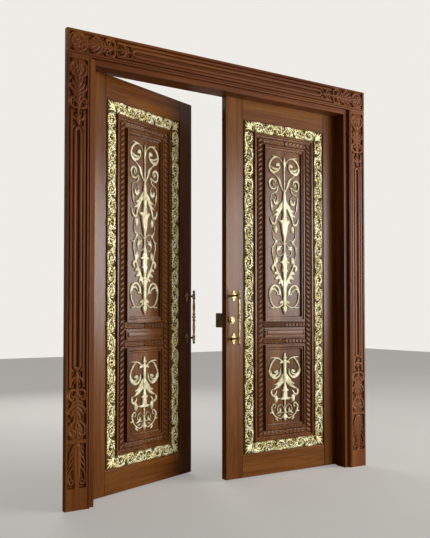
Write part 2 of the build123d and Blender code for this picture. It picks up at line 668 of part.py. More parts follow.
# Half of the pull handle's turned outline: radius, and distance from its middle
GRIP_PROFILE = [
    (10.5, 0), (10.5, 5), (6, 9), (9.5, 15), (9.5, 21), (6, 26), (8.5, 62), (6, 105.5), (11, 114.5),
    (11, 118.5), (8, 120.5), (8, 134.5), (11, 136.5), (11, 139.5), (5, 143.5), (8, 151.5), (6, 159), (2, 165),
]


def handle_grip(side):
    """The turned bar of a pull handle, with beads in its middle and a finial at each end."""
    plane = leaf_plane(side)
    tip = GRIP_PROFILE[-1][1]
    lower = [(r, -z) for r, z in reversed(GRIP_PROFILE[1:])]
    centre = plane.from_local_coords((from_meeting(side, HANDLE_EDGE_DISTANCE), HANDLE_Z, HANDLE_STANDOFF))
    with BuildPart() as grip:
        with BuildSketch(Plane(origin=centre, x_dir=plane.x_dir, z_dir=plane.z_dir)):
            with BuildLine():
                Polyline((0, -tip), *lower, *GRIP_PROFILE, (0, tip), close=True)
            make_face()
        revolve(axis=Axis(centre, (0, 0, 1)))
    return grip.part


def handle_posts(side):
    """The two feet of a pull handle: a pointed rose and a turned post each."""
    plane = leaf_plane(side)
    u = from_meeting(side, HANDLE_EDGE_DISTANCE)
    with BuildPart() as posts:
        for v in (HANDLE_Z - HANDLE_FOOT_SPACING / 2, HANDLE_Z + HANDLE_FOOT_SPACING / 2):
            with BuildSketch(plane):
                with Locations((u, v)):
                    Ellipse(ROSE_POINT_HALF_WIDTH, ROSE_POINT_HALF_HEIGHT)
                    Circle(ROSE_RADIUS)
            extrude(amount=ROSE_THICKNESS)
            with BuildSketch(plane.offset(ROSE_THICKNESS)):
                with Locations((u, v)):
                    Circle(POST_COLLAR_RADIUS)
            extrude(amount=POST_COLLAR_HEIGHT)
            with BuildSketch(plane.offset(ROSE_THICKNESS + POST_COLLAR_HEIGHT)):
                with Locations((u, v)):
                    Circle(POST_RADIUS)
            extrude(amount=HANDLE_STANDOFF - ROSE_THICKNESS - POST_COLLAR_HEIGHT)
        add(handle_grip(side), mode=Mode.SUBTRACT)
    return posts.part


def knuckle_levels(z, jamb_side):
    """Middle heights of the knuckles that belong to one half of a hinge."""
    first = z - HINGE_HEIGHT / 2 + knuckle_pitch / 2
    return [first + knuckle_pitch * i for i in range(KNUCKLES) if (i % 2 == 0) == jamb_side]


def leaf_hinges(side):
    """The halves of the hinges that are let into the stile's edge."""
    way = hinge_direction(side)
    edge = from_hinge(side, 0)
    pivot_u = edge - way * PIVOT_INSET
    pivot_n = -(LEAF_THICKNESS + PIVOT_STANDOFF)
    knuckle = knuckle_pitch - KNUCKLE_GAP
    plate_u = edge - way * HINGE_PLATE_THICKNESS / 2
    with BuildPart(leaf_plane(side)) as plates:
        with Locations(*[(plate_u, z, -(plate_front + HINGE_PLATE_WIDTH / 2)) for z in hinge_heights]):
            Box(HINGE_PLATE_THICKNESS, HINGE_HEIGHT, HINGE_PLATE_WIDTH)
        for z in hinge_heights:
            levels = knuckle_levels(z, False)
            with Locations(*[(plate_u, v, -(LEAF_THICKNESS + WEB_THICKNESS / 2)) for v in levels]):
                Box(HINGE_PLATE_THICKNESS, knuckle, WEB_THICKNESS)
            with Locations(*[Location((pivot_u, v, pivot_n), (90, 0, 0)) for v in levels]):
                Cylinder(KNUCKLE_RADIUS, knuckle)
            with Locations(Location((pivot_u, z, pivot_n), (90, 0, 0))):
                Cylinder(PIN_RADIUS + PIN_CLEARANCE, HINGE_HEIGHT, mode=Mode.SUBTRACT)
            for setback, rise in screw_rows:
                with Locations(Location((plate_u, z + rise, -setback), (0, 90 * way, 0))):
                    Cone(SCREW_RADIUS + SCREW_CLEARANCE, SCREW_HEAD_RADIUS + SCREW_CLEARANCE,
                         HINGE_PLATE_THICKNESS, mode=Mode.SUBTRACT)
    return plates.part


def screw_bodies(places, turn):
    """Countersunk wood screws at the given places of the part being built, heads along the turn."""
    for place in places:
        with Locations(Location(place, turn)):
            Cone(SCREW_RADIUS, SCREW_HEAD_RADIUS, HINGE_PLATE_THICKNESS)
        with Locations(Location(place, turn) * Location((0, 0, -SCREW_LENGTH / 2))):
            Cylinder(SCREW_RADIUS, SCREW_LENGTH - HINGE_PLATE_THICKNESS)


def leaf_hinge_screws(side):
    """The screws of the hinge halves on a leaf."""
    way = hinge_direction(side)
    plate_u = from_hinge(side, 0) - way * HINGE_PLATE_THICKNESS / 2
    places = [(plate_u, z + rise, -setback) for z in hinge_heights for setback, rise in screw_rows]
    with BuildPart(leaf_plane(side)) as screws:
        screw_bodies(places, (0, 90 * way, 0))
    return screws.part


def fitting_screw_places(side):
    """Screws of the fittings on a leaf's inner face: places on the face of their plates, and plate thicknesses."""
    tower_u = from_meeting(side, TOWER_EDGE_DISTANCE)
    low = leaf_top - TOWER_TOP_DISTANCE - TOWER_PLATE_HEIGHT
    places = []
    for rise in TOWER_SCREW_RISES:
        for across in (-TOWER_SCREW_SPREAD, TOWER_SCREW_SPREAD):
            places.append((tower_u + across, low + rise, TOWER_PLATE_THICKNESS))
    if side == "right":
        for rise in (-LOCK_SCREW_RISE, LOCK_SCREW_RISE):
            far_u = LOCK_LENGTH + LOCK_PLATE_MARGIN / 2
            places.append((far_u, LOCK_Z + rise, LOCK_PLATE))
    else:
        for rise in (-KEEPER_SCREW_RISE, KEEPER_SCREW_RISE):
            flange_u = from_meeting(side, KEEPER_LENGTH + LOCK_PLATE_MARGIN / 2)
            places.append((flange_u, LOCK_Z + rise, LOCK_PLATE))
    return places


def fitting_screw_cuts(side):
    """Pilot holes in the leaf for the fittings' screws, in the part being built."""
    for u, v, _ in fitting_screw_places(side):
        with Locations((u, v, -(LEAF_THICKNESS - FITTING_SCREW_LENGTH / 2))):
            Cylinder(FITTING_SCREW_RADIUS + SCREW_CLEARANCE, FITTING_SCREW_LENGTH, mode=Mode.SUBTRACT)


def fitting_head_cuts(side, thickness):
    """Countersinks in a fitting's plate, in the part being built."""
    for u, v, plate in fitting_screw_places(side):
        if plate == thickness:
            with Locations(Location((u, v, -(LEAF_THICKNESS + plate / 2)), (180, 0, 0))):
                Cone(FITTING_SCREW_RADIUS + SCREW_CLEARANCE, FITTING_SCREW_HEAD + SCREW_CLEARANCE,
                     plate, mode=Mode.SUBTRACT)


def fitting_screws(side):
    """The small screws of the fittings on a leaf's inner face."""
    with BuildPart(leaf_plane(side)) as screws:
        for u, v, plate in fitting_screw_places(side):
            with Locations(Location((u, v, -(LEAF_THICKNESS + plate / 2)), (180, 0, 0))):
                Cone(FITTING_SCREW_RADIUS, FITTING_SCREW_HEAD, plate)
            shank = FITTING_SCREW_LENGTH - plate
            with Locations((u, v, -(LEAF_THICKNESS - shank / 2))):
                Cylinder(FITTING_SCREW_RADIUS, shank)
    return screws.part


def tower_bolt_case(side):
    """The plate of a tower bolt, with the three guides that its rod slides in."""
    u = from_meeting(side, TOWER_EDGE_DISTANCE)
    high = leaf_top - TOWER_TOP_DISTANCE
    low = high - TOWER_PLATE_HEIGHT
    guide_n = -(LEAF_THICKNESS + TOWER_PLATE_THICKNESS + TOWER_GUIDE_DEPTH / 2)
    reach = TOWER_GUIDE_HEIGHT / 2 + TOWER_GUIDE_MARGIN
    with BuildPart(leaf_plane(side)) as case:
        with Locations((u, (low + high) / 2, -(LEAF_THICKNESS + TOWER_PLATE_THICKNESS / 2))):
            Box(TOWER_PLATE_WIDTH, TOWER_PLATE_HEIGHT, TOWER_PLATE_THICKNESS)
        levels = [low + reach, (low + high) / 2, high - reach]
        with Locations(*[(u, v, guide_n) for v in levels]):
            Box(TOWER_GUIDE_WIDTH, TOWER_GUIDE_HEIGHT, TOWER_GUIDE_DEPTH)
        with Locations(Location((u, (low + high) / 2, tower_axis_n), (90, 0, 0))):
            Cylinder(TOWER_ROD_RADIUS + TOWER_ROD_CLEARANCE, TOWER_PLATE_HEIGHT + CUT_PAST, mode=Mode.SUBTRACT)
        fitting_head_cuts(side, TOWER_PLATE_THICKNESS)
    return case.part


def tower_bolt_rod(side):
    """The sliding rod of a tower bolt, drawn back below the leaf's top edge."""
    u = from_meeting(side, TOWER_EDGE_DISTANCE)
    tip = leaf_top - TOWER_TIP_DISTANCE
    low = leaf_top - TOWER_TOP_DISTANCE - TOWER_PLATE_HEIGHT
    knob_v = low + TOWER_GUIDE_HEIGHT + TOWER_KNOB_RADIUS + 2 * TOWER_GUIDE_MARGIN
    knob_n = tower_axis_n - TOWER_KNOB_LENGTH / 2
    with BuildPart(leaf_plane(side)) as rod:
        with Locations(Location((u, (low + tip) / 2, tower_axis_n), (90, 0, 0))):
            Cylinder(TOWER_ROD_RADIUS, tip - low)
        with Locations((u, knob_v, knob_n)):
            Cylinder(TOWER_KNOB_RADIUS, TOWER_KNOB_LENGTH)
    return rod.part


def lock_bolt_places(u):
    """The four bolt centres on a face across the leaf."""
    half_z = LOCK_BOLT_SPREAD_Z / 2
    half_n = LOCK_BOLT_SPREAD_N / 2
    return [
        Location((u, LOCK_Z + dz, lock_axis_n + dn), (0, 90, 0))
        for dz in (-half_z, half_z)
        for dn in (-half_n, half_n)
    ]


def keeper():
    """The keeper on the left leaf: a box open towards the leaf, with four holes for the lock's bolts."""
    edge = from_meeting("left", 0)
    flange = KEEPER_LENGTH + LOCK_PLATE_MARGIN
    with BuildPart(leaf_plane("left")) as box:
        with Locations((edge - flange / 2, LOCK_Z, -(LEAF_THICKNESS + LOCK_PLATE / 2))):
            Box(flange, LOCK_HEIGHT, LOCK_PLATE)
        with Locations((edge - KEEPER_LENGTH / 2, LOCK_Z, (lock_back - LEAF_THICKNESS) / 2)):
            Box(KEEPER_LENGTH, LOCK_HEIGHT, -lock_back - LEAF_THICKNESS)
        with Locations((edge - KEEPER_LENGTH / 2, LOCK_Z, (lock_back + LOCK_WALL - LEAF_THICKNESS) / 2)):
            Box(
                KEEPER_LENGTH - 2 * LOCK_WALL,
                LOCK_HEIGHT - 2 * LOCK_WALL,
                -lock_back - LOCK_WALL - LEAF_THICKNESS,
                mode=Mode.SUBTRACT,
            )
        with Locations(*lock_bolt_places(edge - LOCK_WALL / 2)):
            Cylinder(LOCK_BOLT_RADIUS + SOCKET_CLEARANCE, LOCK_WALL + CUT_PAST, mode=Mode.SUBTRACT)
        fitting_head_cuts("left", LOCK_PLATE)
    return box.part


def lock_case():
    """The rim lock's case on the right leaf, open towards its mounting plate."""
    with BuildPart(leaf_plane("right")) as case:
        with Locations((LOCK_LENGTH / 2, LOCK_Z, lock_axis_n)):
            Box(LOCK_LENGTH, LOCK_HEIGHT, LOCK_DEPTH)
        with Locations((LOCK_LENGTH / 2, LOCK_Z, lock_axis_n + LOCK_WALL / 2)):
            Box(
                LOCK_LENGTH - 2 * LOCK_WALL,
                LOCK_HEIGHT - 2 * LOCK_WALL,
                LOCK_DEPTH - LOCK_WALL,
                mode=Mode.SUBTRACT,
            )
        with Locations(*lock_bolt_places(LOCK_WALL / 2)):
            Cylinder(LOCK_BOLT_RADIUS + LOCK_BOLT_CLEARANCE, LOCK_WALL + CUT_PAST, mode=Mode.SUBTRACT)
        with Locations((TURN_DISTANCE, LOCK_Z, lock_back + LOCK_WALL / 2)):
            Cylinder(TURN_SPINDLE_RADIUS + PIN_CLEARANCE, LOCK_WALL + CUT_PAST, mode=Mode.SUBTRACT)
    return case.part


def lock_plate():
    """The bent plate between the lock's case and the leaf, let into the leaf's edge."""
    length = LOCK_LENGTH + LOCK_PLATE_MARGIN
    with BuildPart(leaf_plane("right")) as plate:
        with Locations((length / 2, LOCK_Z, -(LEAF_THICKNESS + LOCK_PLATE / 2))):
            Box(length, LOCK_HEIGHT, LOCK_PLATE)
        with Locations((LOCK_PLATE / 2, LOCK_Z, -(LEAF_THICKNESS - LOCK_FLANGE_DEPTH / 2))):
            Box(LOCK_PLATE, LOCK_HEIGHT, LOCK_FLANGE_DEPTH)
        fitting_head_cuts("right", LOCK_PLATE)
    return plate.part


def lock_bolts():
    """Four round bolts on one carriage, drawn back inside the case."""
    carriage_u = LOCK_BOLT_INSET + LOCK_BOLT_LENGTH + CARRIAGE_THICKNESS / 2
    carriage_height = LOCK_BOLT_SPREAD_Z + 2 * LOCK_BOLT_RADIUS
    carriage_depth = LOCK_BOLT_SPREAD_N + 2 * LOCK_BOLT_RADIUS
    with BuildPart(leaf_plane("right")) as bolts:
        with Locations(*lock_bolt_places(LOCK_BOLT_INSET + LOCK_BOLT_LENGTH / 2)):
            Cylinder(LOCK_BOLT_RADIUS, LOCK_BOLT_LENGTH)
        with Locations((carriage_u, LOCK_Z, lock_axis_n)):
            Box(CARRIAGE_THICKNESS, carriage_height, carriage_depth)
    return bolts.part


def thumb_turn():
    """The turn on the lock's inner side, with its spindle through the case."""
    spindle_n = lock_back + (TURN_SPINDLE_LENGTH - TURN_CLEARANCE) / 2
    disc_n = lock_back - TURN_CLEARANCE - TURN_DISC_HEIGHT / 2
    grip_n = lock_back - TURN_CLEARANCE - TURN_DISC_HEIGHT - TURN_GRIP_HEIGHT / 2
    with BuildPart(leaf_plane("right")) as turn:
        with Locations((TURN_DISTANCE, LOCK_Z, spindle_n)):
            Cylinder(TURN_SPINDLE_RADIUS, TURN_SPINDLE_LENGTH + TURN_CLEARANCE)
        with Locations((TURN_DISTANCE, LOCK_Z, disc_n)):
            Cylinder(TURN_KNOB_RADIUS, TURN_DISC_HEIGHT)
        with Locations((TURN_DISTANCE, LOCK_Z, grip_n)):
            Box(TURN_GRIP_WIDTH, TURN_GRIP_LENGTH, TURN_GRIP_HEIGHT)
    return turn.part


def lock_cylinder():
    """The key cylinder through the stile, with its round rose on the face."""
    u = from_meeting("right", CYLINDER_EDGE_DISTANCE)
    plane = leaf_plane("right")
    with BuildPart(plane) as cylinder:
        with Locations((u, LOCK_Z, -LEAF_THICKNESS / 2)):
            Cylinder(CYLINDER_RADIUS, LEAF_THICKNESS)
        with Locations((u, LOCK_Z, CYLINDER_ROSE_THICKNESS / 2)):
            Cylinder(CYLINDER_ROSE_RADIUS, CYLINDER_ROSE_THICKNESS)
        with Locations((u, LOCK_Z, CYLINDER_PROJECTION / 2)):
            Cylinder(CYLINDER_RADIUS, CYLINDER_PROJECTION)
        front = cylinder.faces().sort_by(Axis(plane.origin, plane.z_dir))[-1]
        fillet(front.edges(), CYLINDER_ROUNDING)
        length = LEAF_THICKNESS + CYLINDER_PROJECTION
        with Locations((u, LOCK_Z, CYLINDER_PROJECTION - length / 2)):
            Cylinder(PLUG_RADIUS + PLUG_CLEARANCE, length + CUT_PAST, mode=Mode.SUBTRACT)
    return cylinder.part


def lock_plug():
    """The plug that the key turns."""
    u = from_meeting("right", CYLINDER_EDGE_DISTANCE)
    length = LEAF_THICKNESS + CYLINDER_PROJECTION
    with BuildPart(leaf_plane("right")) as plug:
        with Locations((u, LOCK_Z, CYLINDER_PROJECTION - length / 2)):
            Cylinder(PLUG_RADIUS, length)
        with Locations((u, LOCK_Z, CYLINDER_PROJECTION - KEYWAY_DEPTH / 2)):
            Box(KEYWAY_WIDTH, KEYWAY_HEIGHT, KEYWAY_DEPTH, mode=Mode.SUBTRACT)
    return plug.part


def jamb_section(sign):
    """The rebated section of a side jamb behind the casing, seen from above."""
    points = [
        (opening_half, CASING_THICKNESS), (jamb_outer_x, CASING_THICKNESS), (jamb_outer_x, FRAME_DEPTH),
        (rebate_x, FRAME_DEPTH), (rebate_x, stop_back), (opening_half, stop_back),
    ]
    return [(sign * x, y) for x, y in points]


def side_jamb(sign):
    """A side jamb, recessed for its hinge plates and drilled for the frame's fixings."""
    plate_y = LEAF_SETBACK + plate_front + (HINGE_PLATE_WIDTH + PIVOT_STANDOFF + WEB_THICKNESS) / 2
    plate_depth = HINGE_PLATE_WIDTH + PIVOT_STANDOFF + WEB_THICKNESS
    with BuildPart() as jamb:
        with BuildSketch(Plane.XY):
            with BuildLine():
                Polyline(*jamb_section(sign), close=True)
            make_face()
        extrude(amount=jamb_top)
        with Locations((sign * (opening_half + STOP_EDGE_WIDTH / 2), lip_y, casing_joint_z / 2)):
            Box(STOP_EDGE_WIDTH, lip_depth, casing_joint_z)
        recess_x = sign * (rebate_x + HINGE_PLATE_THICKNESS / 2)
        with Locations(*[(recess_x, plate_y, z) for z in hinge_heights]):
            Box(HINGE_PLATE_THICKNESS, plate_depth, HINGE_HEIGHT, mode=Mode.SUBTRACT)
        screw_x = sign * (rebate_x + SCREW_LENGTH / 2)
        places = [(screw_x, LEAF_SETBACK + setback, z + rise) for z in hinge_heights for setback, rise in screw_rows]
        with Locations(*[Location(place, (0, 90, 0)) for place in places]):
            Cylinder(SCREW_RADIUS + SCREW_CLEARANCE, SCREW_LENGTH, mode=Mode.SUBTRACT)
        fixing_x = sign * (rebate_x + JAMB_BODY / 2)
        with Locations(*[Location((fixing_x, FIXING_HOLE_SETBACK, z), (0, 90, 0)) for z in fixing_heights]):
            Cylinder(FIXING_HOLE_RADIUS, JAMB_BODY, mode=Mode.SUBTRACT)
    return jamb.part


def socket_places():
    """Centres of the tower bolts' sockets under the head, with both leaves closed."""
    x = leaf_edge - leaf_width + TOWER_EDGE_DISTANCE
    return [(-x, LEAF_SETBACK - tower_axis_n), (x, LEAF_SETBACK - tower_axis_n)]


def head_jamb(left, right):
    """The head of the frame, scribed over the side jambs and drilled for the tower bolts."""
    section = [
        (CASING_THICKNESS, opening_height), (CASING_THICKNESS, jamb_top), (FRAME_DEPTH, jamb_top),
        (FRAME_DEPTH, rebate_z), (stop_back, rebate_z), (stop_back, opening_height),
    ]
    depth = TOWER_THROW - TOWER_TIP_DISTANCE - EDGE_CLEARANCE + SOCKET_MARGIN
    with BuildPart() as head:
        with BuildSketch(Plane.YZ.offset(-jamb_outer_x)):
            with BuildLine():
                Polyline(*section, close=True)
            make_face()
        extrude(amount=2 * jamb_outer_x)
        with Locations((0, lip_y, opening_height + STOP_EDGE_WIDTH / 2)):
            Box(2 * (opening_half + STOP_EDGE_WIDTH), lip_depth, STOP_EDGE_WIDTH)
        add(left, mode=Mode.SUBTRACT)
        add(right, mode=Mode.SUBTRACT)
        with Locations(*[(x, y, rebate_z + depth / 2) for x, y in socket_places()]):
            Cylinder(TOWER_ROD_RADIUS + SOCKET_CLEARANCE, depth, mode=Mode.SUBTRACT)
        with Locations(*[(x, y, rebate_z + SOCKET_PLATE_THICKNESS / 2) for x, y in socket_places()]):
            Box(SOCKET_PLATE_LENGTH, SOCKET_PLATE_WIDTH, SOCKET_PLATE_THICKNESS, mode=Mode.SUBTRACT)
    return head.part


def socket_plates():
    """The brass plates round the tower bolts' sockets, let into the head."""
    with BuildPart() as plates:
        with Locations(*[(x, y, rebate_z + SOCKET_PLATE_THICKNESS / 2) for x, y in socket_places()]):
            Box(SOCKET_PLATE_LENGTH, SOCKET_PLATE_WIDTH, SOCKET_PLATE_THICKNESS)
            Cylinder(TOWER_ROD_RADIUS + SOCKET_CLEARANCE, SOCKET_PLATE_THICKNESS + CUT_PAST, mode=Mode.SUBTRACT)
    return plates.part


def jamb_hinges(sign):
    """The halves of the hinges that are let into a side jamb."""
    depth = HINGE_PLATE_WIDTH + PIVOT_STANDOFF + WEB_THICKNESS
    plate_x = sign * (rebate_x + HINGE_PLATE_THICKNESS / 2)
    plate_y = LEAF_SETBACK + plate_front + depth / 2
    web_reach = rebate_x + HINGE_PLATE_THICKNESS - pivot_x - PIN_RADIUS - WEB_PIN_GAP
    web_x = sign * (rebate_x + HINGE_PLATE_THICKNESS - web_reach / 2)
    knuckle = knuckle_pitch - KNUCKLE_GAP
    with BuildPart() as plates:
        for z in hinge_heights:
            levels = knuckle_levels(z, True)
            with Locations((plate_x, plate_y, z)):
                Box(HINGE_PLATE_THICKNESS, depth, HINGE_HEIGHT)
            with Locations(*[(web_x, pivot_y, v) for v in levels]):
                Box(web_reach, WEB_THICKNESS, knuckle)
            with Locations(*[(sign * pivot_x, pivot_y, v) for v in levels]):
                Cylinder(KNUCKLE_RADIUS, knuckle)
            with Locations((sign * pivot_x, pivot_y, z)):
                Cylinder(PIN_RADIUS + PIN_CLEARANCE, HINGE_HEIGHT, mode=Mode.SUBTRACT)
            for setback, rise in screw_rows:
                with Locations(Location((plate_x, LEAF_SETBACK + setback, z + rise), (0, -90 * sign, 0))):
                    Cone(SCREW_RADIUS + SCREW_CLEARANCE, SCREW_HEAD_RADIUS + SCREW_CLEARANCE,
                         HINGE_PLATE_THICKNESS, mode=Mode.SUBTRACT)
    return plates.part


def hinge_pins():
    """The hinge pins, each with a turned cap at both ends."""
    half = HINGE_HEIGHT / 2
    with BuildPart() as pins:
        for sign in (-1, 1):
            for z in hinge_heights:
                with Locations((sign * pivot_x, pivot_y, z)):
                    Cylinder(PIN_RADIUS, HINGE_HEIGHT + 2 * PIN_END)
                cap = half + KNUCKLE_GAP + PIN_CAP_HEIGHT / 2
                with Locations((sign * pivot_x, pivot_y, z + cap), (sign * pivot_x, pivot_y, z - cap)):
                    Cylinder(PIN_CAP_RADIUS, PIN_CAP_HEIGHT)
    return pins.part


def jamb_hinge_screws():
    """The screws of the hinge halves on the jambs."""
    with BuildPart() as screws:
        for sign in (-1, 1):
            plate_x = sign * (rebate_x + HINGE_PLATE_THICKNESS / 2)
            places = [
                (plate_x, LEAF_SETBACK + setback, z + rise) for z in hinge_heights for setback, rise in screw_rows
            ]
            screw_bodies(places, (0, -90 * sign, 0))
    return screws.part


def casing_section():
    """A casing's section: distance from its outer edge and depth behind its face."""
    slope = FIELD_SLOPE
    arris = CASING_ARRIS
    groove_end = INNER_GROOVE_START + INNER_GROOVE_WIDTH
    return [
        (0, arris), (arris, 0), (RIM_WIDTH, 0), (RIM_WIDTH + slope, FIELD_DEPTH), (FIELD_END - slope, FIELD_DEPTH),
        (FIELD_END, 0), (INNER_GROOVE_START, 0), (INNER_GROOVE_START, INNER_GROOVE_DEPTH),
        (groove_end, INNER_GROOVE_DEPTH), (groove_end, 0), (CASING_WIDTH - arris, 0), (CASING_WIDTH, arris),
        (CASING_WIDTH, CASING_THICKNESS), (0, CASING_THICKNESS),
    ]


field_axis = (RIM_WIDTH + FIELD_END) / 2
field_width = FIELD_END - RIM_WIDTH


def carved_drop(origin, across):
    """A casing's carved drop, its tip at the origin."""
    with BuildPart() as drop:
        with BuildSketch(Plane(origin=origin, x_dir=across, z_dir=(0, -1, 0))):
            add(mirrored_bands(DROP_BANDS, [], 0))
        extrude(amount=CARVING_HEIGHT)
    return drop.part


def flute(middle, length, turn):
    """A casing's round-ended flute."""
    slot_length = length - FLUTE_WIDTH + FLUTE_SLOT_WIDTH
    with BuildPart() as bead:
        with BuildSketch(Plane(origin=middle, x_dir=(1, 0, 0), z_dir=(0, -1, 0))):
            SlotOverall(length, FLUTE_WIDTH, rotation=turn)
            SlotOverall(slot_length, FLUTE_SLOT_WIDTH, rotation=turn, mode=Mode.SUBTRACT)
        extrude(amount=FLUTE_HEIGHT)
    return bead.part


def side_casing(sign):
    """An upright casing: plinth, leaf block, carved drops at both ends and a flute between them."""
    outer = FRAME_WIDTH / 2
    axis_x = sign * (outer - field_axis)
    block_top = PLINTH_HEIGHT + LEAF_BLOCK_HEIGHT
    lower_drop = block_top + BAND_HEIGHT + MOTIF_LENGTH
    upper_drop = casing_joint_z - BAND_HEIGHT - MOTIF_LENGTH
    with BuildPart() as casing:
        with BuildSketch(Plane.XY):
            with BuildLine():
                Polyline(*[(sign * (outer - t), y) for t, y in casing_section()], close=True)
            make_face()
        extrude(amount=casing_joint_z)
        fills = [(PLINTH_HEIGHT / 2, PLINTH_HEIGHT), (block_top + BAND_HEIGHT / 2, BAND_HEIGHT),
                 (casing_joint_z - BAND_HEIGHT / 2, BAND_HEIGHT)]
        for z, height in fills:
            with Locations((axis_x, FIELD_DEPTH / 2, z)):
                Box(field_width, FIELD_DEPTH, height)
        add(carved_drop((axis_x, FIELD_DEPTH, upper_drop), (1, 0, 0)))
        add(carved_drop((axis_x, FIELD_DEPTH, lower_drop), (-1, 0, 0)))
        flute_middle = (axis_x, FIELD_DEPTH, (lower_drop + upper_drop) / 2)
        add(flute(flute_middle, upper_drop - lower_drop - 2 * SMALL_GAP, 90))
        foot = (axis_x, FIELD_DEPTH, PLINTH_HEIGHT + LEAF_BLOCK_MARGIN)
        with BuildSketch(Plane(origin=foot, x_dir=(1, 0, 0), z_dir=(0, -1, 0))):
            add(mirrored_bands(LEAF_BANDS, [], 0))
        extrude(amount=CARVING_HEIGHT)
    return casing.part


def head_casing():
    """The head casing, carved at both ends with a flute between."""
    outer = FRAME_WIDTH / 2
    axis_z = FRAME_HEIGHT - field_axis
    end_rim = RIM_WIDTH + FIELD_SLOPE
    drop_x = outer - end_rim - MOTIF_LENGTH
    with BuildPart() as casing:
        with BuildSketch(Plane.YZ.offset(-outer)):
            with BuildLine():
                Polyline(*[(y, FRAME_HEIGHT - t) for t, y in casing_section()], close=True)
            make_face()
        extrude(amount=2 * outer)
        with Locations(*[(sign * (outer - end_rim / 2), FIELD_DEPTH / 2, axis_z) for sign in (-1, 1)]):
            Box(end_rim, FIELD_DEPTH, field_width)
        add(carved_drop((-drop_x, FIELD_DEPTH, axis_z), (0, 0, 1)))
        add(carved_drop((drop_x, FIELD_DEPTH, axis_z), (0, 0, -1)))
        add(flute((0, FIELD_DEPTH, axis_z), 2 * drop_x - 2 * SMALL_GAP, 0))
    return casing.part


# Frame
left_jamb = side_jamb(-1)
right_jamb = side_jamb(1)
save(left_jamb, "left_jamb")
save(right_jamb, "right_jamb")
save(head_jamb(left_jamb, right_jamb), "head_jamb")
save(side_casing(-1), "left_casing")
save(side_casing(1), "right_casing")
save(head_casing(), "head_casing")
save(jamb_hinges(-1), "left_jamb_hinges")
save(jamb_hinges(1), "right_jamb_hinges")
save(hinge_pins(), "hinge_pins")
save(jamb_hinge_screws(), "jamb_hinge_screws")
save(socket_plates(), "socket_plates")

# Both leaves
for side in ("left", "right"):
    save(stile(side, True), f"{side}_hinge_stile")
    save(stile(side, False), f"{side}_meeting_stile")
    save(rail(side, top_rail_low, TOP_RAIL_HEIGHT, False), f"{side}_top_rail")
    save(rail(side, FLOOR_GAP, BOTTOM_RAIL_HEIGHT, True), f"{side}_bottom_rail")
    save(field_panel(side), f"{side}_field_panel")
    save(gilded_border(side), f"{side}_gilded_border")
    save(
        ring(side, OUTER_MOULD_INSET, outer_mould_low, outer_mould_high, OUTER_MOULD_WIDTH,
             OUTER_MOULD_WIDTH, OUTER_MOULD_HEIGHT, MOULD_BEVEL),
        f"{side}_outer_moulding",
    )
    save(rope_band(side), f"{side}_rope_band")
    save(
        ring(side, FRAME_INSET, upper_frame_low, upper_frame_high, FRAME_SIDE_WIDTH,
             FRAME_END_WIDTH, FRAME_MOULD_HEIGHT, MOULD_BEVEL),
        f"{side}_upper_frame",
    )
    save(
        ring(side, FRAME_INSET, lower_frame_low, lower_frame_high, FRAME_SIDE_WIDTH,
             FRAME_END_WIDTH, FRAME_MOULD_HEIGHT, MOULD_BEVEL),
        f"{side}_lower_frame",
    )
    save(husk_strips(side), f"{side}_husk_strips")
    save(middle_block(side), f"{side}_middle_block")
    save(
        panel_ornament(side, upper_field_low, UPPER_BASE, UPPER_BANDS, UPPER_BUDS, UPPER_SPINE),
        f"{side}_upper_ornament",
    )
    save(
        panel_ornament(side, lower_field_low, LOWER_BASE, LOWER_BANDS, LOWER_BUDS, LOWER_SPINE),
        f"{side}_lower_ornament",
    )
    save(handle_grip(side), f"{side}_handle_grip")
    save(handle_posts(side), f"{side}_handle_posts")
    save(leaf_hinges(side), f"{side}_leaf_hinges")
    save(leaf_hinge_screws(side), f"{side}_hinge_screws")
    save(fitting_screws(side), f"{side}_fitting_screws")
    save(tower_bolt_case(side), f"{side}_tower_bolt_case")
    save(tower_bolt_rod(side), f"{side}_tower_bolt_rod")

# Lock
save(keeper(), "lock_keeper")
save(lock_case(), "lock_case")
save(lock_plate(), "lock_plate")
save(lock_bolts(), "lock_bolts")
save(thumb_turn(), "thumb_turn")
save(lock_cylinder(), "lock_cylinder")
save(lock_plug(), "lock_plug")
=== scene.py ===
import logging
import math
import random
from dataclasses import dataclass, replace
from enum import Enum
from typing import Callable, ClassVar, Sequence

import bpy
import numpy as np
from mathutils import Matrix, Vector


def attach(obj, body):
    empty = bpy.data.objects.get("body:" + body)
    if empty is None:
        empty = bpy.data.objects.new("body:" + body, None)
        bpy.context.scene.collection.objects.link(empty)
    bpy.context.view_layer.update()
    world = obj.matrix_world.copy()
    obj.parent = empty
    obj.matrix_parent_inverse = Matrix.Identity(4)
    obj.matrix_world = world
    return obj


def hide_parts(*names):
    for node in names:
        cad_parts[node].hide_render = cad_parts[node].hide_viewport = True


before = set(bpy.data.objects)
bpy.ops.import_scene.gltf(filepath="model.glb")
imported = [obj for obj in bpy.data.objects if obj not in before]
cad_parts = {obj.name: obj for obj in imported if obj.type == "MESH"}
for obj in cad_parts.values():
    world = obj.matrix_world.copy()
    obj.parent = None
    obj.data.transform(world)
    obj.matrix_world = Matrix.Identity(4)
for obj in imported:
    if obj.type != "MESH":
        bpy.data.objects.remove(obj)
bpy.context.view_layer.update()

# Carved temple door: two gilded leaves in a rebated frame with carved casings.
# Sizes are in millimetres on a flat working plane (across, up, out) until a piece is set in its place.

MM = 0.001
log = logging.getLogger("temple_door")

Point = tuple[float, float]
Shade = tuple[float, float, float]
Triple = tuple[float, float, float]
Band = tuple[list[Point], list[float]]
Piece = bpy.types.Object
Finish = bpy.types.Material
World = bpy.types.World
Node = bpy.types.Node
Socket = bpy.types.NodeSocket

# The colour sockets of a mix node, which shares their names with its other kinds
COLOR_A, COLOR_B, COLOR_OUT = 6, 7, 2

WHITE = (1.0, 1.0, 1.0)

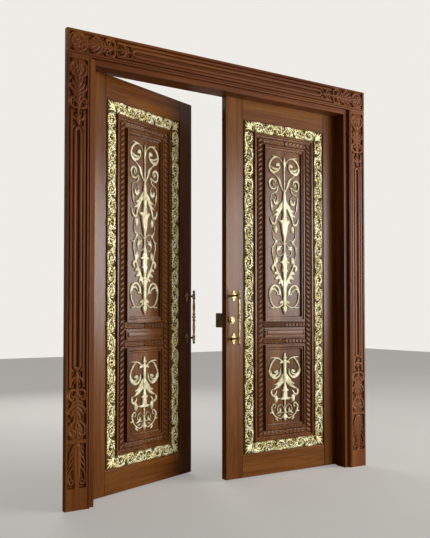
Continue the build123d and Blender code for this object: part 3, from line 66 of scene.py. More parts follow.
# Corners nearer than this are made one, in metres
WELD = 0.00001

# The depth of fine bumps on wood and gilding and on metal and stone, in metres
SOFT_BUMP = 0.0003
HARD_BUMP = 0.0001

# How far a place may lie from a line and still count as on it, in millimetres
ON_LINE = 0.01
ON_EDGE = 0.1

# How deep the veins are cut, as shares of a form's height
DROP_VEIN = 0.14
CURL_VEIN = 0.2
LEAF_VEIN = 0.22
CORNER_VEIN = 0.25
ORNAMENT_VEIN = 0.3

# The angles under which edges are shaded smooth, in degrees
CARVED_ANGLE = 60
TURNED_ANGLE = 50
EASED_ANGLE = 40
MOULDED_ANGLE = 35


class Grain(Enum):
    """The way the wood's grain runs."""

    UPRIGHT = "upright"
    LEVEL = "level"


class Side(Enum):
    """The two leaves, by the side that they hang on."""

    LEFT = "left"
    RIGHT = "right"


# Where the leaves stand, in metres: the right one's face at its meeting edge, the left one's hinge pin with
# that leaf's edge and face from it, and the angle at which the left leaf stands open
RIGHT_CORNER = (0.004, 0.101, 0.0)
LEFT_PIN = (-0.880, 0.154, 0.0)
PIN_TO_EDGE = 0.005
PIN_TO_FACE = 0.053
REST_ANGLE = 21.0

# Half of the upper ornament: centre points and widths of its bands, as in the part's source
UPPER_BASE = 975.0
UPPER_BANDS = [
    ([(12, 1930), (32, 1955), (62, 1966), (98, 1948), (117, 1910), (104, 1874), (80, 1861)],
     [4, 6, 8, 12, 14, 11, 6]),
    ([(52, 1966), (82, 1970), (106, 1974)], [7, 8, 3]),
    ([(110, 1884), (84, 1871), (55, 1880), (37, 1905), (46, 1928), (64, 1918)], [12, 15, 12, 9, 8, 8]),
    ([(82, 1860), (62, 1846), (40, 1826), (30, 1798), (8, 1755)], [5, 6, 15, 14, 6]),
    ([(112, 1775), (116, 1808), (97, 1827), (75, 1818), (72, 1800)], [8, 13, 13, 9, 7]),
    ([(53, 1780), (60, 1752), (80, 1740), (100, 1730), (105, 1700), (102, 1660), (92, 1628), (78, 1606)],
     [11, 7, 5, 5, 5, 8, 6, 4]),
    ([(74, 1739), (54, 1716), (50, 1690), (64, 1673), (80, 1682), (77, 1702)], [4, 5, 8, 12, 10, 4]),
    ([(8, 1690), (26, 1668), (47, 1655)], [18, 18, 5]),
    ([(10, 1672), (44, 1642), (76, 1629)], [20, 19, 6]),
    ([(22, 1655), (56, 1614), (87, 1598)], [18, 17, 5]),
    ([(40, 1628), (62, 1585), (72, 1548)], [14, 13, 8]),
    ([(68, 1556), (88, 1545), (103, 1560), (107, 1584)], [8, 11, 9, 3]),
    ([(72, 1550), (88, 1520), (89, 1470), (76, 1446)], [4, 4, 4, 5]),
    ([(6, 1424), (26, 1443), (48, 1449), (68, 1440)], [6, 6, 6, 7]),
    ([(66, 1436), (88, 1406), (94, 1370), (86, 1335), (76, 1296)], [6, 8, 7, 6, 9]),
    ([(90, 1404), (101, 1404), (114, 1402)], [8, 7, 3]),
    ([(5, 1368), (26, 1353), (50, 1358), (59, 1386), (46, 1402), (28, 1402)], [6, 5, 5, 5, 13, 4]),
    ([(56, 1420), (46, 1402), (50, 1384)], [4, 11, 4]),
    ([(74, 1308), (66, 1275), (46, 1232), (26, 1192), (8, 1150)], [7, 10, 18, 20, 12]),
    ([(50, 1240), (64, 1244), (77, 1240)], [17, 18, 11]),
    ([(40, 1218), (54, 1214), (67, 1207)], [20, 20, 12]),
    ([(20, 1192), (33, 1187), (45, 1180)], [20, 18, 11]),
    ([(70, 1281), (84, 1290), (95, 1276), (88, 1256)], [8, 14, 16, 10]),
    ([(8, 1052), (26, 1040), (54, 1028), (88, 1038), (111, 1078), (115, 1122), (100, 1154), (76, 1166),
      (52, 1155), (36, 1128), (30, 1102)], [9, 8, 8, 8, 9, 13, 16, 11, 12, 12, 4]),
    ([(106, 1136), (88, 1143), (68, 1134), (48, 1112)], [10, 12, 9, 4]),
    ([(78, 1031), (92, 1026), (108, 1027)], [5, 9, 9]),
    ([(6, 1064), (22, 1062), (38, 1056)], [22, 18, 8]),
]
UPPER_BUDS = [(67, 1516, 15, 26), (66, 1438, 10, 14), (64, 1322, 16, 24), (0, 1015, 16, 10)]
UPPER_SPINE = [
    (1976, 1), (1958, 6), (1938, 11), (1918, 11), (1900, 6), (1850, 4.5), (1775, 4.5), (1748, 9), (1700, 14),
    (1660, 18), (1640, 15), (1612, 14), (1580, 21), (1574, 21), (1573, 46), (1563, 46), (1548, 31),
    (1500, 22), (1450, 9), (1425, 6.5), (1390, 6.5), (1352, 12), (1326, 24), (1317, 24), (1316, 39),
    (1306, 39), (1304, 23), (1266, 20), (1262, 27), (1254, 27), (1250, 18), (1200, 11), (1150, 16),
    (1100, 14), (1060, 13), (1040, 12), (1030, 20), (1014, 18), (984, 1),
]

# Leaves that fill out the upper ornament's curls
UPPER_LEAVES = [
    ([(106, 1905), (88, 1893), (64, 1890), (50, 1897)], [5, 13, 13, 4]),
    ([(38, 1928), (52, 1914), (66, 1916)], [6, 14, 6]),
    ([(112, 1778), (98, 1766), (76, 1768), (60, 1782)], [5, 12, 10, 4]),
    ([(84, 1814), (90, 1800), (78, 1790)], [5, 9, 5]),
    ([(86, 1702), (78, 1688), (70, 1668)], [4, 10, 7]),
    ([(54, 1704), (62, 1688), (70, 1668)], [4, 10, 7]),
    ([(104, 1690), (98, 1668), (94, 1650)], [4, 8, 5]),
    ([(112, 1590), (104, 1566), (90, 1552), (70, 1546)], [4, 10, 12, 6]),
    ([(84, 1464), (72, 1450), (58, 1440)], [4, 8, 6]),
    ([(24, 1412), (40, 1404), (60, 1406)], [5, 13, 5]),
    ([(56, 1382), (44, 1392), (30, 1392)], [5, 9, 5]),
    ([(82, 1266), (92, 1274), (88, 1290)], [5, 12, 7]),
    ([(44, 1128), (34, 1112), (24, 1096)], [8, 10, 4]),
    ([(60, 1112), (44, 1110), (30, 1118)], [5, 9, 4]),
    ([(104, 1120), (108, 1140), (96, 1160)], [6, 12, 8]),
]

# Half of the lower ornament, given in the same way
LOWER_BASE = 311.0
LOWER_BANDS = [
    ([(8, 678), (38, 706), (70, 716), (114, 718)], [8, 8, 9, 3]),
    ([(70, 714), (95, 692), (114, 660), (118, 625), (98, 601), (70, 592), (44, 605), (34, 630), (36, 652)],
     [6, 12, 10, 12, 16, 15, 12, 9, 3]),
    ([(104, 614), (78, 609), (54, 622), (60, 638), (80, 634)], [9, 11, 8, 7, 4]),
    ([(6, 696), (20, 690), (36, 684)], [12, 13, 12]),
    ([(6, 604), (28, 586), (51, 573)], [26, 18, 5]),
    ([(8, 588), (44, 562), (76, 552)], [24, 19, 6]),
    ([(14, 572), (52, 541), (87, 523)], [20, 19, 6]),
    ([(80, 528), (106, 514), (104, 493), (88, 483), (72, 493), (60, 510)], [5, 6, 11, 15, 10, 3]),
    ([(88, 484), (82, 476), (76, 468)], [5, 5, 5]),
    ([(40, 463), (54, 462), (66, 460)], [7, 6, 6]),
    ([(5, 372), (8, 402), (30, 425), (52, 413), (57, 391)], [5, 5, 5, 6, 8]),
    ([(4, 378), (28, 376), (40, 386), (26, 396)], [5, 5, 11, 4]),
    ([(88, 432), (103, 411), (96, 384), (76, 357), (56, 346)], [7, 13, 11, 6, 9]),
    ([(92, 384), (103, 381), (114, 379)], [6, 8, 7]),
    ([(4, 366), (28, 341), (50, 343), (76, 360)], [9, 6, 6, 5]),
    ([(76, 342), (66, 335), (56, 330)], [5, 9, 10]),
    ([(68, 368), (54, 374), (40, 384)], [4, 8, 9]),
]
LOWER_BUDS = [(68, 461, 16, 25), (32, 685, 9, 8)]
LOWER_SPINE = [
    (750, 1), (738, 7), (722, 9), (719, 18), (712, 18), (709, 8), (698, 13), (650, 12), (596, 14), (556, 10),
    (540, 12), (522, 18), (519, 30), (510, 30), (507, 17), (497, 20), (470, 23), (469, 41), (457, 41),
    (455, 6), (402, 5), (384, 10), (366, 8), (346, 20), (322, 2),
]

# Leaves that fill out the lower ornament's curls
LOWER_LEAVES = [
    ([(108, 640), (104, 618), (90, 602), (66, 596)], [4, 9, 11, 6]),
    ([(58, 636), (70, 626), (84, 630)], [5, 11, 5]),
    ([(100, 510), (104, 496), (92, 486)], [6, 12, 10]),
    ([(64, 512), (72, 496), (82, 486)], [4, 9, 8]),
    ([(88, 432), (76, 430), (72, 416), (83, 408)], [6, 8, 8, 6]),
    ([(57, 392), (48, 376), (34, 380), (31, 393), (40, 400)], [6, 5, 5, 7, 8]),
    ([(30, 366), (44, 358), (56, 360)], [4, 7, 4]),
    ([(62, 352), (66, 340), (60, 330)], [5, 8, 8]),
]

# Half of a casing's carved drop, from its tip to its widest leaves
DROP_BANDS = [
    ([(0, 0), (0, 20), (0, 46)], [5, 20, 12]),
    ([(4, 34), (16, 34), (26, 44), (27, 58)], [8, 15, 13, 5]),
    ([(5, 46), (13, 54), (15, 66)], [8, 10, 4]),
    ([(0, 44), (0, 70), (0, 104)], [9, 12, 18]),
    ([(3, 98), (22, 94), (40, 104), (46, 124), (38, 142), (24, 142), (20, 130), (30, 124)],
     [10, 14, 17, 19, 17, 13, 10, 9]),
    ([(3, 112), (12, 124), (12, 140)], [10, 12, 5]),
    ([(0, 112), (0, 146), (0, 180)], [12, 22, 16]),
    ([(4, 152), (20, 158), (32, 172)], [12, 16, 5]),
    ([(4, 170), (22, 178), (40, 192), (47, 208), (38, 216)], [14, 17, 16, 13, 5]),
    ([(3, 186), (18, 200), (30, 218), (32, 234)], [14, 17, 14, 5]),
    ([(3, 206), (13, 228), (20, 254)], [12, 14, 5]),
    ([(0, 176), (0, 220), (0, 262)], [12, 16, 10]),
    ([(5, 252), (20, 258), (36, 272), (45, 294), (40, 318), (24, 327), (11, 316), (13, 301), (26, 299)],
     [10, 13, 16, 17, 16, 14, 11, 9, 7]),
    ([(4, 262), (9, 280), (4, 298)], [10, 12, 5]),
    ([(0, 290), (0, 312), (0, 334)], [8, 13, 10]),
]

# The broad masses under a drop's leaves, given in the same way
DROP_BODIES = [
    ([(0, 6), (0, 28), (0, 52)], [8, 30, 34]),
    ([(0, 84), (0, 112), (0, 140)], [14, 30, 22]),
    ([(0, 150), (0, 178), (0, 204), (0, 232), (0, 258)], [22, 50, 80, 54, 38]),
    ([(0, 254), (0, 280), (0, 306), (0, 334)], [36, 72, 88, 78]),
]

# Curls that only the head casing's drops have, on one side of their axis
HEAD_CURLS = [
    ([(-24, 266), (4, 264), (30, 284), (34, 312), (14, 334), (-12, 334), (-26, 318), (-20, 300), (-4, 300),
      (0, 312)], [7, 12, 15, 16, 15, 14, 12, 10, 9, 10]),
    ([(-30, 256), (-41, 284), (-40, 322)], [9, 13, 7]),
    ([(30, 342), (43, 328), (45, 300)], [6, 11, 5]),
]

# Half of the big leaf above a side casing's plinth, from the middle of the block's foot
BLOCK_BANDS = [
    ([(0, 4), (0, 60), (0, 120), (0, 170), (0, 202)], [30, 42, 58, 62, 46]),
    ([(0, 204), (14, 204), (25, 198), (29, 187)], [15, 15, 12, 5]),
    ([(20, 192), (34, 172), (41, 146)], [8, 15, 5]),
    ([(23, 164), (38, 138), (45, 110)], [8, 15, 5]),
    ([(23, 134), (38, 110), (46, 84)], [8, 14, 5]),
    ([(20, 104), (33, 88), (44, 66), (46, 38), (37, 19), (24, 20), (20, 33), (29, 41), (36, 33)],
     [8, 12, 14, 15, 13, 11, 9, 8, 6]),
]

# One half wave of the border's scrolling vine: across from its middle, and along
VINE_LENGTH = 96.0
VINE_FORMS = [
    ([(0, -2), (13, 12), (22, 30), (24, 50), (20, 70), (11, 86), (0, 98)], [9, 10, 11, 11, 11, 10, 9]),
    ([(10, 88), (-8, 82), (-20, 66), (-21, 46), (-10, 32), (4, 32), (11, 43), (6, 54), (-4, 52)],
     [6, 10, 12, 12, 11, 11, 11, 10, 11]),
    ([(3, 0), (14, -8), (27, -18)], [9, 15, 5]),
    ([(9, 8), (21, 2), (30, -7)], [8, 13, 5]),
    ([(14, 16), (25, 12), (31, 4)], [8, 12, 5]),
    ([(20, 28), (28, 22), (31, 14)], [9, 12, 6]),
    ([(24, 46), (30, 40), (31, 30)], [9, 11, 6]),
    ([(23, 60), (30, 56), (31, 46)], [9, 10, 6]),
    ([(20, 72), (29, 70), (31, 60)], [9, 11, 6]),
    ([(14, 82), (23, 84), (29, 76)], [8, 12, 5]),
    ([(-12, 76), (-22, 82), (-31, 80)], [8, 12, 6]),
    ([(-19, 64), (-27, 68), (-31, 64)], [9, 11, 6]),
    ([(-21, 50), (-28, 52), (-31, 46)], [9, 11, 6]),
    ([(-18, 40), (-27, 36), (-31, 28)], [9, 11, 6]),
    ([(4, 14), (-6, 19), (-19, 17)], [8, 13, 5]),
    ([(-8, 34), (-13, 26), (-26, 21)], [8, 11, 5]),
    ([(16, 34), (8, 25), (-2, 24)], [7, 10, 5]),
    ([(17, 60), (8, 66), (-2, 68)], [7, 12, 5]),
    ([(12, 76), (2, 74), (-8, 68)], [6, 9, 5]),
]

# How the border's vine is drawn, with the small leaves that fill the space between its forms
SPRIGS_PER_WAVE = 30
SPRIG_HALF_LENGTHS = (4.5, 8.5)
SPRIG_WIDTHS = (3.2, 6.6, 2.6)
SPRIG_TURNS = (95, 140)
SPRIG_BEND = 0.3
SPRIG_EYE = 6
SPRIG_RISE = 0.86
SPRIG_SPREAD = 29
VINE_SPREAD = 31.0
VINE_FULLNESS = (0.46, 0.64)
VINE_WANDER = 1.5
BORDER_SEEDS = {Side.RIGHT: 7, Side.LEFT: 11}

# Leaves that fill a corner of the border, pointing to the outer corner; each has a twin across the diagonal
CORNER_FORMS = [
    ([(-24, -24), (0, 0), (28, 28)], [8, 19, 5]),
    ([(-14, -20), (8, -17), (27, -24)], [6, 12, 4]),
    ([(-4, -8), (14, -4), (29, 6)], [7, 13, 4]),
]


# One strand of the rope band, from its outer end to its inner one
STRAND = ([(-13, -9), (-7, -5), (0, 0), (7, 5), (13, 9)], [11, 18, 22, 18, 11])

# Sections of the mouldings: share of the width from outside, and share of the height
OUTER_SECTION = [
    (0, 0.6), (0.04, 0.92), (0.1, 1), (0.62, 1), (0.68, 0.9), (0.72, 0.36), (0.96, 0.3), (1, 0.22),
]
FRAME_SECTION = [
    (0, 0.5), (0.02, 0.88), (0.06, 1), (0.4, 1), (0.44, 0.92), (0.46, 0.5), (0.6, 0.46), (0.62, 0.64),
    (0.66, 0.7), (0.86, 0.7), (0.9, 0.62), (0.92, 0.24), (0.99, 0.2), (1, 0.12),
]

# The middle block's steps: distance inwards, and height
BLOCK_SECTION = [
    (0, 8), (0.6, 9), (5, 9.4), (5.6, 12.4), (6.4, 13), (11.4, 13), (12.4, 12), (12.8, 8.8), (16.6, 8.6),
    (17, 13), (18, 14.6), (20, 15),
]

# Half of the pull handle's turned bar, from its tip to its middle: radius, and height over the middle
GRIP_TIP = 165.0
GRIP_FOOT = 127.5
GRIP_FACETS = 32
GRIP_PROFILE = [
    (0, GRIP_TIP), (3.5, GRIP_TIP - 1.5), (6, GRIP_TIP - 6), (7.4, GRIP_FOOT + 26), (8, GRIP_FOOT + 22),
    (5.2, GRIP_FOOT + 17), (5.2, GRIP_FOOT + 14), (10.4, GRIP_FOOT + 12.5), (11, GRIP_FOOT + 10.5),
    (9, GRIP_FOOT + 8.5), (8, GRIP_FOOT + 7), (8, GRIP_FOOT - 7), (9, GRIP_FOOT - 8.5), (11, GRIP_FOOT - 10),
    (10.4, GRIP_FOOT - 12.5), (6.4, GRIP_FOOT - 18), (6, GRIP_FOOT - 22), (6.6, 90), (7.8, 74), (8.5, 62),
    (7.8, 48), (6.2, 32), (6, 27), (8.6, 24), (9.6, 20), (9.5, 16), (6.2, 12), (6, 9), (9.6, 6.5), (10.5, 3),
    (10.5, 0),
]


@dataclass(frozen=True)
class Stroke:
    """One form cut by the carver: centre points, widths and height, in millimetres."""

    points: Sequence[Point]
    widths: Sequence[float]
    height: float
    vein: float = 0.0
    lobes: float = 0.0

    STEP: ClassVar[float] = 2.2
    LOBE_PITCH: ClassVar[float] = 11.0

    def mapped(self, change: Callable[[float, float], Point]) -> "Stroke":
        """The same stroke with every centre point moved.

        Args:
            change: gives a point's new place from its old one.

        Returns:
            The moved stroke.
        """
        return replace(self, points=[change(x, y) for x, y in self.points])

    def paired(self, axis: float, foot: float, way: int = 1) -> list["Stroke"]:
        """The stroke on both sides of an upright axis.

        Args:
            axis: the axis's place, across.
            foot: the place that the stroke's own heights count from.
            way: 1 where those heights run forwards, or -1.

        Returns:
            The left stroke and the right one.
        """
        return [self.mapped(lambda x, y, s=sign: (axis + s * x, foot + way * y)) for sign in (-1, 1)]

    def path(self) -> tuple[np.ndarray, np.ndarray]:
        """A smooth line through the centre points.

        Returns:
            The line's points and its half width at each.
        """
        points = np.array(self.points, float)
        widths = np.array(self.widths, float)
        ends = np.vstack([2 * points[0] - points[1], points, 2 * points[-1] - points[-2]])
        line = []
        radii = []
        for i in range(len(points) - 1):
            p0, p1, p2, p3 = ends[i:i + 4]
            count = max(int(np.linalg.norm(p2 - p1) / self.STEP), 2)
            t = np.linspace(0, 1, count, endpoint=False)[:, None]
            bend = 2 * p0 - 5 * p1 + 4 * p2 - p3
            twist = 3 * p1 - p0 - 3 * p2 + p3
            line.append(0.5 * (2 * p1 + (p2 - p0) * t + bend * t ** 2 + twist * t ** 3))
            radii.append((widths[i] + (widths[i + 1] - widths[i]) * t[:, 0]) / 2)
        line.append(points[-1:])
        radii.append(widths[-1:] / 2)
        radius = np.concatenate(radii)
        if self.lobes:
            run = np.arange(len(radius)) * self.STEP
            radius = radius * (1 + self.lobes * np.sin(2 * math.pi * run / self.LOBE_PITCH))
        return np.vstack(line), radius


class Relief:
    """Heights of a carved surface over its ground, on a grid in millimetres."""

    SPREAD = 4.0
    SLOPE = 1.2
    FULLNESS = 0.55
    VEIN_SHARE = 0.2
    FULL_RADIUS = 6.0
    LEAST_TOP = 0.2
    BUD_RIB = 0.16
    TURNED_BASE = 0.42
    TURNED_FULL = 26.0
    HUSK_BEND = 0.45
    HUSK_FOOT = 0.25
    HUSK_RIB = 0.16
    HUSK_CUT = 0.09
    # These set how the painted shade gathers in narrow gaps beside raised forms
    BLUR_ROUNDS = 4
    PINCH_DEPTH = 2.0
    PINCH_SHARE = 1.1

    def __init__(self, across: np.ndarray, along: np.ndarray, ground: float) -> None:
        """Lays out the grid.

        Args:
            across: places of the grid's columns.
            along: places of its rows.
            ground: height where nothing is carved.
        """
        self.across = across
        self.along = along
        self.height = np.full((len(along), len(across)), float(ground))

    def window(self, low: np.ndarray, high: np.ndarray) -> tuple[slice, slice]:
        """The rows and columns of the grid between two corners.

        Args:
            low: the lower left corner.
            high: the upper right corner.

        Returns:
            The rows and the columns.
        """
        i0, i1 = np.searchsorted(self.across, (low[0], high[0]))
        j0, j1 = np.searchsorted(self.along, (low[1], high[1]))
        return slice(j0, j1), slice(i0, i1)

    def carve(self, stroke: Stroke) -> None:
        """Raises the surface along a stroke.

        Args:
            stroke: the form to add.
        """
        line, radius = stroke.path()
        reach = radius.max() + self.SPREAD
        rows, columns = self.window(line.min(0) - reach, line.max(0) + reach)
        if rows.start >= rows.stop or columns.start >= columns.stop:
            return
        x, y = np.meshgrid(self.across[columns], self.along[rows])
        start, run = line[:-1], np.diff(line, axis=0)
        length = np.maximum((run ** 2).sum(1), 1e-6)
        dx = x[..., None] - start[:, 0]
        dy = y[..., None] - start[:, 1]
        t = np.clip((dx * run[:, 0] + dy * run[:, 1]) / length, 0, 1)
        away = np.hypot(dx - t * run[:, 0], dy - t * run[:, 1])
        wide = radius[:-1] + t * np.diff(radius)
        share = away / wide
        nearest = share.argmin(-1)[..., None]
        q = np.take_along_axis(share, nearest, -1)[..., 0]
        r = np.take_along_axis(wide, nearest, -1)[..., 0]
        top = stroke.height * np.clip(r / self.FULL_RADIUS, self.LEAST_TOP, 1) ** 0.5
        value = top * np.clip(1 - q * q, 0, 1) ** self.FULLNESS
        value -= stroke.vein * top * np.exp(-(q / self.VEIN_SHARE) ** 2)
        self.raise_to(rows, columns, np.where(q < 1, value, (1 - q) * r * self.SLOPE))

    def raise_to(self, rows: slice, columns: slice, value: np.ndarray) -> None:
        """Lifts a part of the surface wherever a new height is over it."""
        self.height[rows, columns] = np.maximum(self.height[rows, columns], value)

    def bud(self, x: float, y: float, wide: float, tall: float, height: float) -> None:
        """Raises an oval bud with lengthwise ribs.

        Args:
            x: the bud's middle, across.
            y: the bud's middle, along.
            wide: half its width.
            tall: half its height.
            height: how far it stands out.
        """
        reach = np.array([wide, tall]) + self.SPREAD
        rows, columns = self.window(np.array([x, y]) - reach, np.array([x, y]) + reach)
        gx, gy = np.meshgrid(self.across[columns] - x, self.along[rows] - y)
        q = np.hypot(gx / wide, gy / tall)
        ribs = self.BUD_RIB * height * np.cos(gx / wide * 2.5 * math.pi) ** 2
        body = (height - ribs) * np.clip(1 - q * q, 0, 1) ** 0.5
        self.raise_to(rows, columns, np.where(q < 1, body, (1 - q) * wide * self.SLOPE))

    def turned(self, axis: float, outline: Sequence[Point], height: float) -> None:
        """Raises a form that looks turned, the same on both sides of an upright axis.

        Args:
            axis: the axis's place, across.
            outline: pairs of place along the axis and half width.
            height: how far the widest parts stand out.
        """
        outline = sorted(outline)
        half = np.interp(self.along, [y for y, _ in outline], [w for _, w in outline], left=0, right=0)
        for j in np.nonzero(half > 0.5)[0]:
            q = np.abs(self.across - axis) / half[j]
            top = height * min(1.0, self.TURNED_BASE + half[j] / self.TURNED_FULL)
            value = np.where(q < 1, top * np.clip(1 - q ** 5, 0, 1) ** 0.5, (1 - q) * half[j] * self.SLOPE)
            self.height[j] = np.maximum(self.height[j], value)

    def scales(self, low: Point, high: Point, middle: float, pitch: float, height: float) -> None:
        """Carves a row of overlapping husks whose round tips point to the row's middle.

        Args:
            low: the row's lower left corner.
            high: its upper right corner.
            middle: the place that the tips point to.
            pitch: distance from tip to tip.
            height: how far the tips stand out.
        """
        rows, columns = self.window(np.array(low), np.array(high))
        x, y = np.meshgrid(self.across[columns], self.along[rows])
        half = (high[1] - low[1]) / 2
        side = np.clip(np.abs(y - low[1] - half) / half, 0, 1)
        run = (np.abs(x - middle) - pitch * self.HUSK_BEND * side ** 2) / pitch
        phase = run - np.floor(run)
        swell = self.HUSK_FOOT + (1 - self.HUSK_FOOT) * np.clip(1 - phase, 0, 1) ** 0.8
        ribs = 1 - self.HUSK_RIB + self.HUSK_RIB * np.cos(side * 3 * math.pi)
        value = height * swell * ribs * np.clip(1 - side ** 6, 0, 1)
        value *= np.clip(phase / self.HUSK_CUT, 0.1, 1)
        self.raise_to(rows, columns, np.where(run < 0, 0, value))

    def shade_in_hollows(self, low: float, high: float, broad: float) -> np.ndarray:
        """Painted shade: how dark each place is made, from its depth and from the forms that stand round it,
        where shade falls.

        Args:
            low: height at which the dark is full.
            high: height at which none is left.
            broad: share of the dark that a wide floor keeps.

        Returns:
            One share from 0 to 1 for each place of the grid.
        """
        deep = np.clip((high - self.height) / (high - low), 0, 1)
        blur = self.height.copy()
        for _ in range(self.BLUR_ROUNDS):
            edge = np.pad(blur, 1, mode="edge")
            blur = (edge[:-2, 1:-1] + edge[2:, 1:-1] + edge[1:-1, :-2] + edge[1:-1, 2:]) / 4
        pinched = np.clip((blur - self.height) / self.PINCH_DEPTH, 0, 1)
        return np.clip(deep * broad + pinched * deep * self.PINCH_SHARE, 0, 1)


def steps(start: float, end: float, pitch: float) -> np.ndarray:
    """Even grid lines from start to end, no further apart than the pitch."""
    return np.linspace(start, end, max(int(math.ceil((end - start) / pitch)), 1) + 1)


def joined(*runs: np.ndarray) -> np.ndarray:
    """Grid lines of several runs that share their ends."""
    return np.unique(np.round(np.concatenate(runs), 4))


def run_places(start: float, end: float, pitch: float) -> list[float]:
    """Evenly spaced places that fill a run, whole pitches only.

    Args:
        start: start of the run.
        end: its end.
        pitch: least distance between places.

    Returns:
        The places, each in the middle of its step.
    """
    count = max(int((end - start) // pitch), 1)
    step = (end - start) / count
    return [start + step * (i + 0.5) for i in range(count)]


def deselect() -> None:
    """Leaves edit mode and clears the selection."""
    if bpy.context.object and bpy.context.object.mode != "OBJECT":
        bpy.ops.object.mode_set(mode="OBJECT")
    bpy.ops.object.select_all(action="DESELECT")


def pick(piece: Piece) -> None:
    """Makes a piece the only selected and active one.

    Args:
        piece: the piece to pick.
    """
    deselect()
    piece.select_set(True)
    bpy.context.view_layer.objects.active = piece


def edit(piece: Piece, kind: str = "FACE") -> None:
    """Opens a piece in edit mode with its own stored selection.

    Args:
        piece: the piece to open.
        kind: VERT, EDGE or FACE selection.
    """
    pick(piece)
    bpy.context.tool_settings.mesh_select_mode = (kind == "VERT", kind == "EDGE", kind == "FACE")
    bpy.ops.object.mode_set(mode="EDIT")


def select_where(piece: Piece, kind: str, test: Callable[[Vector], bool]) -> None:
    """Selects corners or faces by their place, in millimetres, and opens the piece in edit mode.

    Args:
        piece: the piece to select in.
        kind: VERT or FACE.
        test: says whether a corner, or a face's middle, is wanted.
    """
    edit(piece, kind)
    bpy.ops.mesh.select_all(action="DESELECT")
    bpy.ops.object.mode_set(mode="OBJECT")
    if kind == "VERT":
        for corner in piece.data.vertices:
            corner.select = test(corner.co / MM)
    else:
        for face in piece.data.polygons:
            face.select = test(face.center / MM)
    bpy.ops.object.mode_set(mode="EDIT")


def carved_sheet(name: str, relief: Relief, dark: np.ndarray, keep: np.ndarray | None = None) -> Piece:
    """A carved surface as an open sheet on its working plane.

    Args:
        name: the piece's name.
        relief: its heights.
        dark: share of painted shade at each place.
        keep: which places of the grid belong to it, or None for all.

    Returns:
        The sheet, in metres.
    """
    deselect()
    columns = len(relief.across) - 1
    rows = len(relief.along) - 1
    bpy.ops.mesh.primitive_grid_add(x_subdivisions=columns, y_subdivisions=rows, size=1)
    sheet = bpy.context.object
    sheet.name = name
    mesh = sheet.data
    places = np.empty(len(mesh.vertices) * 3, np.float32)
    mesh.vertices.foreach_get("co", places)
    places = places.reshape(-1, 3)
    i = np.rint((places[:, 0] + 0.5) * columns).astype(int)
    j = np.rint((places[:, 1] + 0.5) * rows).astype(int)
    places = np.stack([relief.across[i], relief.along[j], relief.height[j, i]], 1) * MM
    mesh.vertices.foreach_set("co", places.ravel().astype(np.float32))
    # The painted shade goes on the corners, for the materials to darken hollows with
    shade = mesh.attributes.new("recess_shade", "FLOAT", "POINT")
    shade.data.foreach_set("value", dark[j, i].astype(np.float32))
    if keep is None:
        return sheet
    corners = np.empty(len(mesh.polygons) * 4, np.int32)
    mesh.polygons.foreach_get("vertices", corners)
    wanted = keep[j, i][corners.reshape(-1, 4)].all(1)
    edit(sheet, "FACE")
    bpy.ops.mesh.select_all(action="DESELECT")
    bpy.ops.object.mode_set(mode="OBJECT")
    mesh.polygons.foreach_set("select", ~wanted)
    bpy.ops.object.mode_set(mode="EDIT")
    bpy.ops.mesh.delete(type="FACE")
    bpy.ops.object.mode_set(mode="OBJECT")
    return sheet


def stepped_form(half_x: float, half_y: float, section: Sequence[Triple]) -> Piece:
    """A rectangle drawn inwards and upwards step by step, left open in edit mode.

    Args:
        half_x: half the rectangle's width.
        half_y: half its height.
        section: distance inwards on both axes, and height, of each step.

    Returns:
        The form round its own middle.
    """
    deselect()
    bpy.ops.mesh.primitive_plane_add(size=2, location=(0, 0, 0))
    form = bpy.context.object
    edit(form, "FACE")
    bpy.ops.mesh.select_all(action="SELECT")
    bpy.ops.transform.resize(value=(half_x * MM, half_y * MM, 1))
    now_x, now_y, now_h = half_x, half_y, 0.0
    for inset_x, inset_y, height in section:
        next_x, next_y = half_x - inset_x, half_y - inset_y
        bpy.ops.mesh.extrude_region_move()
        bpy.ops.transform.resize(value=(next_x / now_x, next_y / now_y, 1))
        bpy.ops.transform.translate(value=(0, 0, (height - now_h) * MM))
        now_x, now_y, now_h = next_x, next_y, height
    return form


def face_outward() -> None:
    """Turns every face of the open piece to its outside."""
    bpy.ops.mesh.select_all(action="SELECT")
    bpy.ops.mesh.normals_make_consistent(inside=False)


def close_back(sheet: Piece, seat: float, loops: int) -> None:
    """Draws a sheet's edges down to its seat and closes the underside.

    Args:
        sheet: an open carved sheet.
        seat: the seat's place on the working plane, in millimetres.
        loops: how many closed edges the sheet has, 1 or 2.
    """
    edit(sheet, "EDGE")
    bpy.ops.mesh.select_all(action="DESELECT")
    bpy.ops.mesh.select_non_manifold(extend=False, use_wire=False, use_multi_face=False,
                                     use_non_contiguous=False, use_verts=False)
    bpy.ops.mesh.extrude_edges_move()
    bpy.ops.transform.resize(value=(1, 1, 0), center_override=(0, 0, seat * MM))
    if loops == 1:
        bpy.ops.mesh.edge_face_add()
    else:
        bpy.ops.mesh.bridge_edge_loops()
    face_outward()
    bpy.ops.object.mode_set(mode="OBJECT")


def thicken(sheet: Piece, depth: float) -> None:
    """Gives a pierced sheet a wall behind its carved face.

    Args:
        sheet: an open sheet.
        depth: the wall's thickness, in millimetres.
    """
    wall = sheet.modifiers.new("wall", "SOLIDIFY")
    wall.thickness = depth * MM
    wall.offset = -1
    pick(sheet)
    bpy.ops.object.modifier_apply(modifier=wall.name)


def smooth(piece: Piece, angle: float) -> None:
    """Shades a piece smooth across edges flatter than an angle in degrees."""
    pick(piece)
    bpy.ops.object.shade_smooth_by_angle(angle=math.radians(angle))


@dataclass(frozen=True)
class Plane:
    """A flat working plane: its corner, the way across and the way out to the viewer, in metres."""

    corner: Vector
    across: Vector
    out: Vector

    def matrix(self) -> Matrix:
        """The move from the working plane to the door's own place.

        Returns:
            The move, for places in metres.
        """
        return Matrix((
            (self.across.x, 0, self.out.x, self.corner.x),
            (self.across.y, 0, self.out.y, self.corner.y),
            (self.across.z, 1, self.out.z, self.corner.z),
            (0, 0, 0, 1),
        ))


